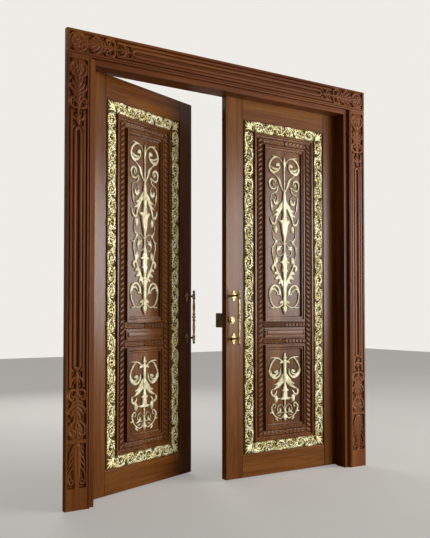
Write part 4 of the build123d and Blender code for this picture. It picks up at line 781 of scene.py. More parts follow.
def coat(piece: Piece, finish: Finish) -> None:
    """Gives a piece one material."""
    piece.data.materials.clear()
    piece.data.materials.append(finish)


def settle(piece: Piece, body: str, finish: Finish, node: str) -> None:
    """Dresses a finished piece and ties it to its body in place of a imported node.

    Args:
        piece: a piece in its own place.
        body: the body that it moves with.
        finish: its material.
        node: the CAD node that it stands for.
    """
    deselect()
    coat(piece, finish)
    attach(piece, body)
    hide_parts(node)
    log.info("%s: %d faces", piece.name, len(piece.data.polygons))


class Recipe:
    """A material or world being mixed: its nodes, with short calls to add and join them."""

    BUMP_STRENGTH = 0.6

    def __init__(self, owner: Finish | World) -> None:
        """Empties the nodes of a new material or world.

        Args:
            owner: the material or world.
        """
        self.owner = owner
        self.owner.use_nodes = True
        self.nodes = self.owner.node_tree.nodes
        self.nodes.clear()

    @classmethod
    def material(cls, name: str) -> "Recipe":
        """Starts a new material."""
        return cls(bpy.data.materials.new(name))

    def add(self, kind: str, **settings: object) -> Node:
        """A new node with settings given by name.

        Args:
            kind: the node's type.
            **settings: its settings.

        Returns:
            The node.
        """
        node = self.nodes.new(kind)
        for key, value in settings.items():
            setattr(node, key, value)
        return node

    def join(self, source: Socket, target: Socket) -> None:
        """Links an output to an input."""
        self.owner.node_tree.links.new(source, target)

    def place(self) -> Socket:
        """The piece's own coordinates."""
        return self.add("ShaderNodeTexCoord").outputs["Object"]

    def recess_shade(self) -> Socket:
        """The share of painted shade that the carved pieces carry in their hollows."""
        return self.add("ShaderNodeAttribute", attribute_name="recess_shade").outputs["Fac"]

    def noise(self, source: Socket, stretch: Triple, turn: float, detail: float,
              distortion: float = 0.0) -> Socket:
        """A noise pattern that is stretched along an axis.

        Args:
            source: coordinates.
            stretch: how often the pattern varies along each axis, in a metre.
            turn: turn of the pattern about the upright axis, in degrees.
            detail: how many finer layers it has.
            distortion: how far it is bent out of line.

        Returns:
            The pattern's value.
        """
        place = self.add("ShaderNodeMapping", vector_type="TEXTURE")
        place.inputs["Rotation"].default_value = (0, 0, math.radians(turn))
        place.inputs["Scale"].default_value = tuple(1 / s for s in stretch)
        self.join(source, place.inputs["Vector"])
        cloud = self.add("ShaderNodeTexNoise")
        cloud.inputs["Scale"].default_value = 1.0
        cloud.inputs["Detail"].default_value = detail
        cloud.inputs["Distortion"].default_value = distortion
        self.join(place.outputs["Vector"], cloud.inputs["Vector"])
        return cloud.outputs["Fac"]

    def ramp(self, source: Socket, stops: Sequence[tuple[float, Shade]]) -> Socket:
        """Colours picked along a value.

        Args:
            source: the value.
            stops: pairs of value and colour.

        Returns:
            The colour.
        """
        node = self.add("ShaderNodeValToRGB")
        ramp = node.color_ramp
        while len(ramp.elements) < len(stops):
            ramp.elements.new(0.5)
        for element, (place, shade) in zip(ramp.elements, stops):
            element.position = place
            element.color = (*shade, 1)
        self.join(source, node.inputs["Fac"])
        return node.outputs["Color"]

    def span(self, source: Socket, low: float, high: float, start: float = 0.0,
             end: float = 1.0) -> Socket:
        """A value moved from one range to another.

        Args:
            source: the value.
            low: the result at start.
            high: the result at end.
            start: the value's low end.
            end: the value's high end.

        Returns:
            The moved value.
        """
        node = self.add("ShaderNodeMapRange")
        node.inputs["From Min"].default_value = start
        node.inputs["From Max"].default_value = end
        node.inputs["To Min"].default_value = low
        node.inputs["To Max"].default_value = high
        self.join(source, node.inputs["Value"])
        return node.outputs["Result"]

    def greater(self, first: Socket, second: Socket) -> Socket:
        """The greater of two values.

        Args:
            first: one value.
            second: the other.

        Returns:
            The greater one.
        """
        node = self.add("ShaderNodeMath", operation="MAXIMUM")
        self.join(first, node.inputs[0])
        self.join(second, node.inputs[1])
        return node.outputs[0]

    def blend(self, share: Socket | float, first: Socket, second: Socket | Shade, way: str = "MIX") -> Socket:
        """Two colours mixed by a share.

        Args:
            share: how much of the second.
            first: the colour at no share.
            second: the colour at full share.
            way: the blend type.

        Returns:
            The mixed colour.
        """
        node = self.add("ShaderNodeMix", data_type="RGBA", blend_type=way)
        if isinstance(share, float):
            node.inputs["Factor"].default_value = share
        else:
            self.join(share, node.inputs["Factor"])
        self.join(first, node.inputs[COLOR_A])
        if isinstance(second, tuple):
            node.inputs[COLOR_B].default_value = (*second, 1)
        else:
            self.join(second, node.inputs[COLOR_B])
        return node.outputs[COLOR_OUT]

    def surface(self, color: Socket, roughness: Socket,
                bump: Socket, depth: float, **settings: float) -> Node:
        """The shader at the end, with constants set on its own sockets.

        Args:
            color: the base colour.
            roughness: the roughness.
            bump: heights of the fine surface.
            depth: depth of the bump, in metres.
            **settings: constants by socket name, with _ for a space.

        Returns:
            The shader node.
        """
        shader = self.add("ShaderNodeBsdfPrincipled")
        for key, value in settings.items():
            shader.inputs[key.replace("_", " ")].default_value = value
        self.join(color, shader.inputs["Base Color"])
        self.join(roughness, shader.inputs["Roughness"])
        relief = self.add("ShaderNodeBump")
        relief.inputs["Strength"].default_value = self.BUMP_STRENGTH
        relief.inputs["Distance"].default_value = depth
        self.join(bump, relief.inputs["Height"])
        self.join(relief.outputs["Normal"], shader.inputs["Normal"])
        out = self.add("ShaderNodeOutputMaterial")
        self.join(shader.outputs["BSDF"], out.inputs["Surface"])
        return shader


@dataclass(frozen=True)
class WoodFinish:
    """Varnished reddish hardwood, with its grain one way, and with painted shade in its hollows."""

    name: str
    dark: Shade
    middle: Shade
    light: Shade
    grain: Grain
    turn: float = 0.0
    gloss: float = 0.21
    sheen: float = 0.18

    FIGURE: ClassVar[Point] = (9, 0.7)
    STREAKS: ClassVar[Point] = (90, 2.2)
    PORES: ClassVar[Point] = (420, 14)
    STREAK_SHADE: ClassVar[Shade] = (0.62, 0.58, 0.55)
    PORE_SHADE: ClassVar[Shade] = (0.6, 0.55, 0.52)
    PATTERN_SHARE: ClassVar[float] = 0.75
    # How dark the painted shade makes the wood in hollows and joint grooves
    HOLLOW_SHADE: ClassVar[float] = 0.16

    def mix(self) -> Finish:
        """The finished wood.

        Returns:
            The material.
        """
        recipe = Recipe.material(self.name)
        place = recipe.place()
        along = 2 if self.grain is Grain.UPRIGHT else 0

        def stretched(across: float, run: float) -> Triple:
            """Pattern counts in a metre, fewer along the grain.

            Args:
                across: counts across the grain.
                run: counts along it.

            Returns:
                The counts along each axis.
            """
            counts = [across, across, across]
            counts[along] = run
            return tuple(counts)

        figure = recipe.noise(place, stretched(*self.FIGURE), self.turn, 4, 0.6)
        streaks = recipe.noise(place, stretched(*self.STREAKS), self.turn, 6)
        pores = recipe.noise(place, stretched(*self.PORES), self.turn, 3)
        base = recipe.ramp(figure, [(0.30, self.dark), (0.50, self.middle), (0.72, self.light)])
        streak_shade = recipe.ramp(streaks, [(0.34, self.STREAK_SHADE), (0.62, WHITE)])
        pore_shade = recipe.ramp(pores, [(0.36, self.PORE_SHADE), (0.46, WHITE)])
        color = recipe.blend(self.PATTERN_SHARE, base, streak_shade, "MULTIPLY")
        color = recipe.blend(self.PATTERN_SHARE, color, pore_shade, "MULTIPLY")
        # Painted shade: hollows and joint grooves are blended towards near-black wood
        recess_shade = recipe.recess_shade()
        deep = tuple(c * self.HOLLOW_SHADE for c in self.dark)
        color = recipe.blend(recipe.span(recess_shade, 0.0, 0.88), color, deep)
        polish = recipe.span(streaks, self.gloss - 0.05, self.gloss + 0.12)
        roughness = recipe.greater(polish, recipe.span(recess_shade, 0.0, 0.9, 0.0, 0.5))
        recipe.surface(color, roughness, pores, SOFT_BUMP, Specular_IOR_Level=self.sheen)
        return recipe.owner


@dataclass(frozen=True)
class GiltFinish:
    """Gold laid on carved wood; its hollows turn to a dark brown ground, partly the bare ground and partly
    painted shade.
    """

    name: str
    rubbed: Shade
    gold: Shade
    pale: Shade
    # The hollows' colour: partly the bare ground, partly painted shade
    ground: Shade
    metal: float = 0.5

    PATCHES: ClassVar[Triple] = (26, 26, 26)
    SPECKS: ClassVar[Triple] = (240, 240, 240)
    SPECK_SHADE: ClassVar[Shade] = (0.62, 0.52, 0.40)
    PATTERN_SHARE: ClassVar[float] = 0.7
    SHEEN: ClassVar[float] = 0.12

    def mix(self) -> Finish:
        """The finished gilding.

        Returns:
            The material.
        """
        recipe = Recipe.material(self.name)
        place = recipe.place()
        patches = recipe.noise(place, self.PATCHES, 0, 5)
        specks = recipe.noise(place, self.SPECKS, 0, 4)
        gold = recipe.ramp(patches, [(0.32, self.rubbed), (0.50, self.gold), (0.68, self.pale)])
        speck_shade = recipe.ramp(specks, [(0.34, self.SPECK_SHADE), (0.50, WHITE)])
        color = recipe.blend(self.PATTERN_SHARE, gold, speck_shade, "MULTIPLY")
        # Bare ground and painted shade: the hollows turn dark brown and lose their metal
        recess_shade = recipe.recess_shade()
        color = recipe.blend(recipe.span(recess_shade, 0.0, 1.0, 0.12, 0.75), color, self.ground)
        polish = recipe.span(specks, 0.42, 0.62)
        roughness = recipe.greater(polish, recipe.span(recess_shade, 0.0, 0.95, 0.0, 0.6))
        shader = recipe.surface(color, roughness, specks, SOFT_BUMP, Specular_IOR_Level=self.SHEEN)
        recipe.join(recipe.span(recess_shade, self.metal, 0.0, 0.05, 0.45), shader.inputs["Metallic"])
        return recipe.owner


@dataclass(frozen=True)
class MetalFinish:
    """Brushed or darkened metal of the fittings."""

    name: str
    dark: Shade
    light: Shade
    rough: float = 0.32

    TARNISH: ClassVar[Triple] = (34, 34, 34)
    BRUSHING: ClassVar[Triple] = (900, 900, 40)

    def mix(self) -> Finish:
        """The finished metal.

        Returns:
            The material.
        """
        recipe = Recipe.material(self.name)
        place = recipe.place()
        tarnish = recipe.noise(place, self.TARNISH, 0, 6)
        brushing = recipe.noise(place, self.BRUSHING, 0, 3)
        color = recipe.ramp(tarnish, [(0.34, self.dark), (0.64, self.light)])
        roughness = recipe.span(tarnish, self.rough + 0.14, self.rough - 0.06)
        recipe.surface(color, roughness, brushing, HARD_BUMP, Metallic=1.0)
        return recipe.owner


@dataclass
class Finishes:
    """Every finish of the door, mixed once."""

    def __post_init__(self) -> None:
        """Mixes the woods of the frame and the leaves, the gilding and the metals."""
        frame_wood = WoodFinish("frame_wood_upright", (0.105, 0.024, 0.0030), (0.172, 0.046, 0.0055),
                                (0.240, 0.076, 0.010), Grain.UPRIGHT, gloss=0.36, sheen=0.13)
        leaf_wood = WoodFinish("leaf_wood_upright", (0.105, 0.030, 0.003), (0.168, 0.053, 0.006),
                               (0.232, 0.084, 0.011), Grain.UPRIGHT)
        self.frame_upright = frame_wood.mix()
        self.frame_level = replace(frame_wood, name="frame_wood_level", grain=Grain.LEVEL).mix()
        self.leaf_upright = leaf_wood.mix()
        self.leaf_level = {
            Side.RIGHT: replace(leaf_wood, name="right_leaf_wood_level", grain=Grain.LEVEL).mix(),
            Side.LEFT: replace(leaf_wood, name="left_leaf_wood_level", grain=Grain.LEVEL,
                               turn=REST_ANGLE).mix(),
        }
        # Each gilding's last colour is its hollows: partly bare ground, partly painted shade
        self.border_gilding = GiltFinish("border_gilding", (0.60, 0.50, 0.20), (0.86, 0.78, 0.42),
                                         (0.97, 0.94, 0.70), (0.085, 0.050, 0.012)).mix()
        self.gilding = GiltFinish("ornament_gilding", (0.40, 0.35, 0.18), (0.57, 0.54, 0.35),
                                  (0.74, 0.72, 0.57), (0.09, 0.056, 0.018), 0.32).mix()
        self.brass = MetalFinish("aged_brass", (0.17, 0.115, 0.040), (0.47, 0.37, 0.15)).mix()
        self.bronze = MetalFinish("dull_bronze", (0.15, 0.105, 0.050), (0.34, 0.27, 0.14), 0.45).mix()
        self.screw = MetalFinish("brass_screws", (0.30, 0.20, 0.09), (0.60, 0.46, 0.24)).mix()
        self.steel = MetalFinish("bolt_steel", (0.30, 0.30, 0.30), (0.60, 0.60, 0.59), 0.26).mix()


@dataclass
class Casings:
    """The carved casings round the doorway: two upright ones and the head."""

    finishes: Finishes
    frame_width: float = 2072.0
    frame_height: float = 2450.0
    width: float = 133.0
    thickness: float = 32.0
    rim: float = 13.0
    lip: float = 1.0
    field_depth: float = 9.0
    field_slope: float = 3.0
    field_end: float = 112.0
    groove_start: float = 122.0
    groove_end: float = 126.0
    groove_depth: float = 4.0
    groove_mouth: float = 0.8
    groove_floor: float = 0.4
    plinth: float = 110.0
    block_height: float = 225.0
    band: float = 20.0
    drop: float = 345.0
    flute_width: float = 51.0
    slot_width: float = 13.0
    flute_rise: float = 8.0
    field_rise: float = 6.4
    carving: float = 8.6
    body_rise: float = 5.6
    curl_rise: float = 9.0
    block_rise: float = 8.0
    fullness: float = 1.28
    veined_over: float = 13.0
    nosing: float = 0.6
    rounding: float = 2.0
    field_half: float = 42.0
    flute_gap: float = 2.6
    flute_margin: float = 4.0
    field_margin: float = 85.0
    flute_start: float = 2.0
    leaf_start: float = 4.0
    run_in: float = 40.0
    head_pitch: float = 6.5
    band_pitch: float = 7.0
    plinth_pitch: float = 36.0
    # The painted shade in the hollows: the height where it ends, and the share that a wide floor keeps
    dark_end: float = -1.5
    dark_floor: float = 0.10
    fine: float = 2.5
    medium: float = 5.0
    coarse: float = 22.0

    @property
    def axis(self) -> float:
        """The field's middle, from the casing's outer edge."""
        return (self.rim + self.field_end) / 2

    @property
    def joint(self) -> float:
        """Height at which the upright casings meet the head."""
        return self.frame_height - self.width

    @property
    def outer_edges(self) -> list[float]:
        """Places of the steps outside the field."""
        return [0, self.nosing, self.rounding, self.rim - self.lip]

    @property
    def inner_edges(self) -> list[float]:
        """Places of the steps of the groove and of the inner edge.

        Returns:
            The places, from the outer edge inwards.
        """
        start, end = self.groove_start, self.groove_end
        mouth, floor = self.groove_mouth, self.groove_floor
        return [start - mouth, start + floor, end - floor, end + mouth, self.width - self.rounding,
                self.width - self.nosing, self.width]

    def columns(self) -> np.ndarray:
        """Grid lines across a casing, with its steps kept sharp.

        Returns:
            The lines' places, from the outer edge inwards.
        """
        slope = self.field_slope
        outer = self.outer_edges + [self.rim, self.rim + slope / 2]
        inner = [self.field_end - slope / 2, self.field_end, self.field_end + self.lip] + self.inner_edges
        field = steps(self.rim + slope, self.field_end - slope, self.fine)
        return joined(np.array(outer, float), field, np.array(inner, float))

    def section(self, t: np.ndarray) -> np.ndarray:
        """Depth of a casing's plain moulded section, from its outer edge inwards.

        Args:
            t: places across the casing.

        Returns:
            The depth at each place.
        """
        slope = self.field_slope
        field = [self.rim + slope, self.field_end - slope, self.field_end + self.lip / 2]
        groove = [0, self.groove_depth, self.groove_depth, 0]
        nose = [self.rounding, self.nosing, 0]
        depths = nose + [0, self.field_depth, self.field_depth, 0] + groove + nose[::-1]
        return np.interp(t, self.outer_edges + field + self.inner_edges, depths)

    def drop_strokes(self, tip: float, way: int, curls: bool) -> list[Stroke]:
        """The strokes of one carved drop.

        Args:
            tip: the tip's place along the casing.
            way: 1 where the drop grows forwards along the casing, or -1.
            curls: whether it has the head's curls.

        Returns:
            Strokes in the casing's own measures.
        """
        strokes = []
        for points, widths in DROP_BODIES:
            mass = Stroke(points, widths, self.body_rise)
            strokes.append(mass.mapped(lambda x, y: (self.axis + x, tip + way * y)))
        for points, widths in DROP_BANDS:
            full = [w * self.fullness for w in widths]
            vein = DROP_VEIN if max(widths) > self.veined_over else 0.0
            strokes += Stroke(points, full, self.carving, vein=vein).paired(self.axis, tip, way)
        if curls:
            for points, widths in HEAD_CURLS:
                base = Stroke(points, widths, self.curl_rise, vein=CURL_VEIN)
                strokes.append(base.mapped(lambda x, y: (self.axis + way * x, tip + way * y)))
        return strokes

    def from_flute(self, relief: Relief, low: float, high: float) -> tuple[np.ndarray, ...]:
        """Where each place stands beside the flute.

        Args:
            relief: the casing's heights over the field.
            low: start of the flute along the casing.
            high: its end.

        Returns:
            Each place's distance from the axis, its place along, and its distance from the flute's line.
        """
        x, y = np.meshgrid(np.abs(relief.across - self.axis), relief.along)
        half = self.flute_width / 2
        beyond = np.maximum(np.maximum(low + half - y, y - (high - half)), 0)
        return x, y, np.hypot(x, beyond)

    def flute(self, relief: Relief, low: float, high: float) -> None:
        """Raises the flute's double bead, round at both ends, and cuts the grooves beside it.

        Args:
            relief: the casing's heights over the field.
            low: start of the flute along the casing.
            high: its end.
        """
        _, _, away = self.from_flute(relief, low, high)
        slot = self.slot_width / 2
        bead = (away - slot) / (self.flute_width / 2 - slot)
        value = self.flute_rise * np.clip(1 - (2 * bead - 1) ** 4, 0, 1) ** 0.6
        cut = -self.field_depth
        relief.height = np.maximum(relief.height, np.where((bead > 0) & (bead < 1), value, cut))

    def level_field(self, relief: Relief, low: float, high: float) -> None:
        """Raises the field beside the flute, between two narrow grooves.

        Args:
            relief: the casing's heights over the field.
            low: start of the flute along the casing.
            high: its end.
        """
        x, y, away = self.from_flute(relief, low, high)
        clear = self.flute_width / 2 + self.flute_gap
        over, far = self.flute_margin, self.field_margin
        beside = (x < self.field_half) & (away > clear) & (y > low - over) & (y < high + over)
        edge = (x > clear) & (x < self.field_half) & (y > low - far) & (y < high + far)
        relief.height = np.where(beside | edge, np.maximum(relief.height, self.field_rise), relief.height)

    def carved(self, length: float, ends: bool) -> Relief:
        """Heights of a whole casing over its field's floor.

        Args:
            length: the casing's length.
            ends: True for the head casing, whose carving is closed at both ends.

        Returns:
            The relief, across from the outer edge and along from the start.
        """
        strokes = []
        if ends:
            margin = self.rim + self.field_slope
            first, last = margin + self.drop, length - margin - self.drop
            fills = [(0, self.rim), (length - self.rim, length)]
            foot, end = self.rim, length - self.rim
            runs = [steps(0, foot, self.head_pitch), steps(foot, first, self.fine),
                    steps(last, end, self.fine), steps(end, length, self.head_pitch)]
        else:
            block = self.plinth + self.block_height
            first, last = block + self.band + self.drop, length - self.band - self.drop
            fills = [(0, self.plinth), (block, block + self.band), (length - self.band, length)]
            for points, widths in BLOCK_BANDS:
                leaf = Stroke(points, widths, self.block_rise, vein=LEAF_VEIN)
                strokes += leaf.paired(self.axis, self.plinth + self.leaf_start)
            foot, end = self.plinth, length - self.band
            runs = [steps(0, foot - 1, self.plinth_pitch), steps(foot, first, self.fine),
                    steps(last, end, self.fine), steps(end, length, self.band_pitch)]
        inner, outer = first + self.run_in, last - self.run_in
        runs += [steps(first, inner, self.medium), steps(inner, outer, self.coarse),
                 steps(outer, last, self.medium)]
        strokes += self.drop_strokes(first, -1, ends) + self.drop_strokes(last, 1, ends)
        relief = Relief(self.columns(), joined(*runs), 0.0)
        self.level_field(relief, first + self.flute_start, last - self.flute_start)
        self.flute(relief, first + self.flute_start, last - self.flute_start)
        for stroke in strokes:
            relief.carve(stroke)
        for low, high in fills:
            rows = (relief.along >= low - ON_LINE) & (relief.along <= high + ON_LINE)
            relief.height[rows] = self.field_depth
        floor = self.section(relief.across)[None, :]
        over = np.clip(relief.height, 0, None) - self.field_depth
        beside = (relief.across < self.rim) | (relief.across > self.field_end)
        relief.height = np.where(beside[None, :], -floor, np.maximum(-floor, over))
        return relief

    def finish(self, node: str, relief: Relief, left: float, low: float, wood: Finish) -> None:
        """Turns heights into one solid casing, sets it in its place and dresses it.

        Args:
            node: the node that it stands for.
            relief: its heights.
            left: its left edge on the frame.
            low: its lower edge.
            wood: its wood.
        """
        # Painted shade, in the field's floor and in narrow gaps beside the carving
        dark = relief.shade_in_hollows(-self.field_depth, self.dark_end, self.dark_floor)
        piece = carved_sheet(f"{node}_carved", relief, dark)
        close_back(piece, -self.thickness, 1)
        smooth(piece, TURNED_ANGLE)
        plane = Plane(Vector((left, 0, low)) * MM, Vector((1, 0, 0)), Vector((0, -1, 0)))
        piece.data.transform(plane.matrix())
        settle(piece, "frame", wood, node)

    def build(self) -> None:
        """Makes the three casings from the same section."""
        half = self.frame_width / 2
        upright = self.carved(self.joint, False)
        mirrored = Relief(self.width - upright.across[::-1], upright.along, 0)
        mirrored.height = upright.height[:, ::-1].copy()
        head = self.carved(self.frame_width, True)
        level = Relief(head.along, self.width - head.across[::-1], 0)
        level.height = head.height.T[::-1].copy()
        self.finish("left_casing", upright, -half, 0, self.finishes.frame_upright)
        self.finish("right_casing", mirrored, half - self.width, 0, self.finishes.frame_upright)
        self.finish("head_casing", level, -half, self.joint, self.finishes.frame_level)


@dataclass
class Leaf:
    """One leaf of the door: its applied carving, mouldings and pull handle."""

    side: Side
    finishes: Finishes
    width: float = 881.0
    panel_front: float = -6.0
    fine: float = 2.4
    # The share of painted shade that a wide floor keeps; the dark and light heights below set where that
    # shade is full and where it ends
    floor_share: float = 0.85
    border_inset: float = 133.0
    border_width: float = 64.0
    border_low: float = 150.0
    border_high: float = 2162.0
    border_ground: float = 5.0
    border_top: float = 14.0
    border_dark: float = 10.4
    outer_inset: float = 209.0
    outer_width: float = 20.0
    outer_height: float = 12.0
    rope_inset: float = 235.0
    rope_width: float = 34.0
    rope_low: float = 240.0
    rope_high: float = 2072.0
    rope_ground: float = 3.5
    rope_rise: float = 5.6
    rope_pitch: float = 30.0
    rope_fine: float = 2.85
    rope_dark: float = 6.1
    rope_floor_share: float = 0.25
    scale_margin: float = 4.0
    scale_side: float = 2.5
    frame_inset: float = 283.0
    frame_side: float = 25.0
    frame_end: float = 33.0
    frame_height: float = 18.0
    lower_low: float = 278.0
    lower_high: float = 799.0
    upper_low: float = 941.0
    upper_high: float = 2034.0
    husk_height: float = 33.0
    husk_pitch: float = 28.0
    husk_fine: float = 2.2
    husk_rise: float = 7.5
    husk_margin: float = 6.0
    husk_side: float = 2.0
    husk_ground: float = 3.0
    husk_dark: float = 8.0
    husk_floor_share: float = 0.5
    block_low: float = 840.0
    block_height: float = 60.0
    ornament_half: float = 132.0
    ornament_height: float = 9.0
    ornament_swell: float = 1.27
    ornament_floor: float = -3.0
    ornament_cut: float = -1.6
    ornament_edge: float = -2.4
    ornament_wall: float = 1.0
    ornament_dark: float = -0.5
    ornament_light: float = 3.0
    least_band: float = 4.5
    veined_over: float = 8.0
    lobed_over: float = 11.0
    lobe_share: float = 0.10
    spine_height: float = 13.0
    handle_inset: float = 52.0
    handle_height: float = 969.0
    handle_out: float = 60.0

    @property
    def axis(self) -> float:
        """The leaf's middle, from its left edge."""
        return self.width / 2

    @property
    def body(self) -> str:
        """The body that the leaf's pieces move with."""
        return f"{self.side.value}_leaf"

    def plane(self) -> Plane:
        """The plane of the leaf's face, from its left edge on the floor line.

        Returns:
            The plane, where the leaf stands at rest.
        """
        if self.side is Side.RIGHT:
            return Plane(Vector(RIGHT_CORNER), Vector((1, 0, 0)), Vector((0, -1, 0)))
        angle = math.radians(REST_ANGLE)
        across = Vector((math.cos(angle), math.sin(angle), 0))
        out = Vector((math.sin(angle), -math.cos(angle), 0))
        return Plane(Vector(LEFT_PIN) - across * PIN_TO_EDGE + out * PIN_TO_FACE, across, out)

    def place(self, piece: Piece, node: str, finish: Finish, slot: str) -> None:
        """Settles a piece on this leaf in place of one of its nodes.

        Args:
            piece: a piece on the leaf's working plane.
            node: the node's name without its side.
            finish: its material.
            slot: the record's material slot, not used.
        """
        name = f"{self.side.value}_{node}"
        piece.name = f"{name}_dressed"
        piece.data.transform(self.plane().matrix())
        settle(piece, self.body, finish, name)

    def ring_grid(self, inset: float, low: float, high: float, width: float,
                  pitch: float) -> tuple[Relief, np.ndarray]:
        """An empty relief for a band that runs round the leaf.

        Args:
            inset: the band's outer edge, from the leaf's edge.
            low: the band's lowest place.
            high: its highest place.
            width: its width.
            pitch: the grid's pitch.

        Returns:
            The relief, and which of its places are on the band.
        """
        left, right = inset, self.width - inset
        across, along = (
            joined(steps(start, start + width, pitch), steps(start + width, end - width, pitch),
                   steps(end - width, end, pitch))
            for start, end in ((left, right), (low, high))
        )
        relief = Relief(across, along, 0.0)
        x, y = np.meshgrid(across, along)
        clear = width + ON_EDGE
        inside = (x > left + clear) & (x < right - clear) & (y > low + clear) & (y < high - clear)
        return relief, ~inside

    def vine(self, relief: Relief, start: Point, ahead: Point, length: float, flip: int,
             draw: random.Random) -> None:
        """Carves the scrolling vine along one run of the border.

        Args:
            relief: the border's heights.
            start: where the run starts, in the band's middle.
            ahead: the way that it runs.
            length: how far it runs.
            flip: the side that the first half wave swings to, 1 or -1.
            draw: the seeded source of small differences.
        """
        count = round(length / VINE_LENGTH)
        step = length / count
        rise = self.border_top - self.border_ground

        def spot(wave: int, along: float, aside: float) -> Point:
            """A place on the leaf from its place in a half wave."""
            run = wave * step + along * step / VINE_LENGTH
            return start[0] + ahead[0] * run + ahead[1] * aside, start[1] + ahead[1] * run - ahead[0] * aside

        for i in range(count):
            swing = flip if i % 2 == 0 else -flip
            for points, widths in VINE_FORMS:
                wide = draw.uniform(*VINE_FULLNESS)
                moved = [spot(i, y, swing * x + draw.uniform(-VINE_WANDER, VINE_WANDER)) for x, y in points]
                relief.carve(Stroke(moved, [w * wide for w in widths], rise, vein=LEAF_VEIN))
            for _ in range(SPRIGS_PER_WAVE):
                x, y = draw.uniform(-SPRIG_SPREAD, SPRIG_SPREAD), draw.uniform(0, VINE_LENGTH)
                lean = math.atan2(y - VINE_LENGTH / 2, x + SPRIG_EYE)
                lean += math.radians(draw.uniform(*SPRIG_TURNS))
                reach = draw.uniform(*SPRIG_HALF_LENGTHS)
                moved = []
                for along, bend in ((-reach, 0.0), (0.0, SPRIG_BEND * reach), (reach, 0.0)):
                    a = x + along * math.cos(lean) - bend * math.sin(lean)
                    b = y + along * math.sin(lean) + bend * math.cos(lean)
                    moved.append(spot(i, b, min(max(swing * a, -VINE_SPREAD), VINE_SPREAD)))
                relief.carve(Stroke(moved, SPRIG_WIDTHS, rise * SPRIG_RISE, vein=CURL_VEIN))

    def closed_ring(self, node: str, relief: Relief, keep: np.ndarray, dark: Triple, finish: Finish,
                    slot: str) -> None:
        """Turns the heights of a band round the leaf into a solid and dresses it.

        Args:
            node: the node that it stands for.
            relief: its heights over the ground.
            keep: which places are on the band.
            dark: for the painted shade, the height of the ground over the panel, the height where the shade
                ends, and a wide floor's share.
            finish: its material.
            slot: the record's material slot.
        """
        ground, none, broad = dark
        relief.height = np.maximum(relief.height, 0) + ground + self.panel_front
        # Painted shade in the band's hollows
        shade = relief.shade_in_hollows(ground + self.panel_front, none + self.panel_front, broad)
        piece = carved_sheet(node, relief, shade, keep)
        close_back(piece, self.panel_front, 2)
        smooth(piece, CARVED_ANGLE)
        self.place(piece, node, finish, slot)

    def border(self) -> None:
        """The wide gilded border of scrolling vine, with leaves in its corners."""
        relief, keep = self.ring_grid(self.border_inset, self.border_low, self.border_high, self.border_width,
                                      self.fine)
        draw = random.Random(BORDER_SEEDS[self.side])
        half = self.border_width / 2
        left, right = self.border_inset + half, self.width - self.border_inset - half
        low, high = self.border_low + half, self.border_high - half
        tall = high - low - self.border_width
        wide = self.axis - left - half
        for x, flip in ((left, 1), (right, -1)):
            self.vine(relief, (x, low + half), (0, 1), tall, flip, draw)
        for y, flip in ((low, 1), (high, -1)):
            self.vine(relief, (left + half, y), (1, 0), wide, flip, draw)
            self.vine(relief, (right - half, y), (-1, 0), wide, -flip, draw)
        rise = self.border_top - self.border_ground
        for x, outward in ((left, -1), (right, 1)):
            for y, upward in ((low, -1), (high, 1)):
                for points, widths in CORNER_FORMS:
                    leaf = Stroke(points, widths, rise, vein=CORNER_VEIN)
                    relief.carve(leaf.mapped(lambda a, b: (x + outward * a, y + upward * b)))
                    relief.carve(leaf.mapped(lambda a, b: (x + outward * b, y + upward * a)))
        dark = (self.border_ground, self.border_dark, self.floor_share)
        self.closed_ring("gilded_border", relief, keep, dark, self.finishes.border_gilding, "gilding")

    def rope(self) -> None:
        """The roped band, its strands slanting down towards the middle."""
        relief, keep = self.ring_grid(self.rope_inset, self.rope_low, self.rope_high, self.rope_width,
                                      self.rope_fine)
        half = self.rope_width / 2
        left, right = self.rope_inset + half, self.width - self.rope_inset - half
        strand = Stroke(*STRAND, self.rope_rise)
        for v in run_places(self.rope_low, self.rope_high, self.rope_pitch):
            relief.carve(strand.mapped(lambda x, y: (left + x, v + y)))
            relief.carve(strand.mapped(lambda x, y: (right - x, v + y)))
        for v in (self.rope_low + half, self.rope_high - half):
            ends = half + self.scale_margin
            sides = half - self.scale_side
            relief.scales((left + ends, v - sides), (right - ends, v + sides), self.axis, self.rope_pitch,
                          self.rope_rise)
        dark = (self.rope_ground, self.rope_dark, self.rope_floor_share)
        self.closed_ring("rope_band", relief, keep, dark, self.finishes.leaf_upright, "leaf_wood")

    def ornament(self, node: str, low: float, high: float, base: float, bands: Sequence[Band],
                 buds: Sequence[tuple[float, float, float, float]], spine: Sequence[Point]) -> None:
        """A gilded ornament on the panel, pierced between its forms.

        Args:
            node: the node that it stands for.
            low: the field's lower edge.
            high: its upper edge.
            base: height that the lists count from.
            bands: centre points and widths.
            buds: middles and half sizes.
            spine: outline of the turned middle.
        """
        half = self.ornament_half
        across = steps(self.axis - half, self.axis + half, self.fine)
        relief = Relief(across, steps(low, high, self.fine), self.ornament_floor)
        lift = low - base
        for points, widths in bands:
            wide = max(widths)
            full = [max(w * self.ornament_swell, self.least_band) for w in widths]
            vein = ORNAMENT_VEIN if wide > self.veined_over else 0.0
            lobes = self.lobe_share if wide > self.lobed_over else 0.0
            for twin in Stroke(points, full, self.ornament_height, vein, lobes).paired(self.axis, lift):
                relief.carve(twin)
        for x, y, wide, tall in buds:
            for sign in (-1, 1):
                relief.bud(self.axis + sign * x, y + lift, wide, tall, self.ornament_height)
        relief.turned(self.axis, [(y + lift, half_width) for y, half_width in spine], self.spine_height)
        keep = relief.height > self.ornament_cut
        # Painted shade in the ornament's hollows
        dark = relief.shade_in_hollows(self.ornament_dark, self.ornament_light, self.floor_share)
        relief.height = np.maximum(relief.height, self.ornament_edge) + self.panel_front
        piece = carved_sheet(node, relief, dark, keep)
        thicken(piece, self.ornament_wall)
        smooth(piece, CARVED_ANGLE)
        self.place(piece, node, self.finishes.gilding, "gilding")

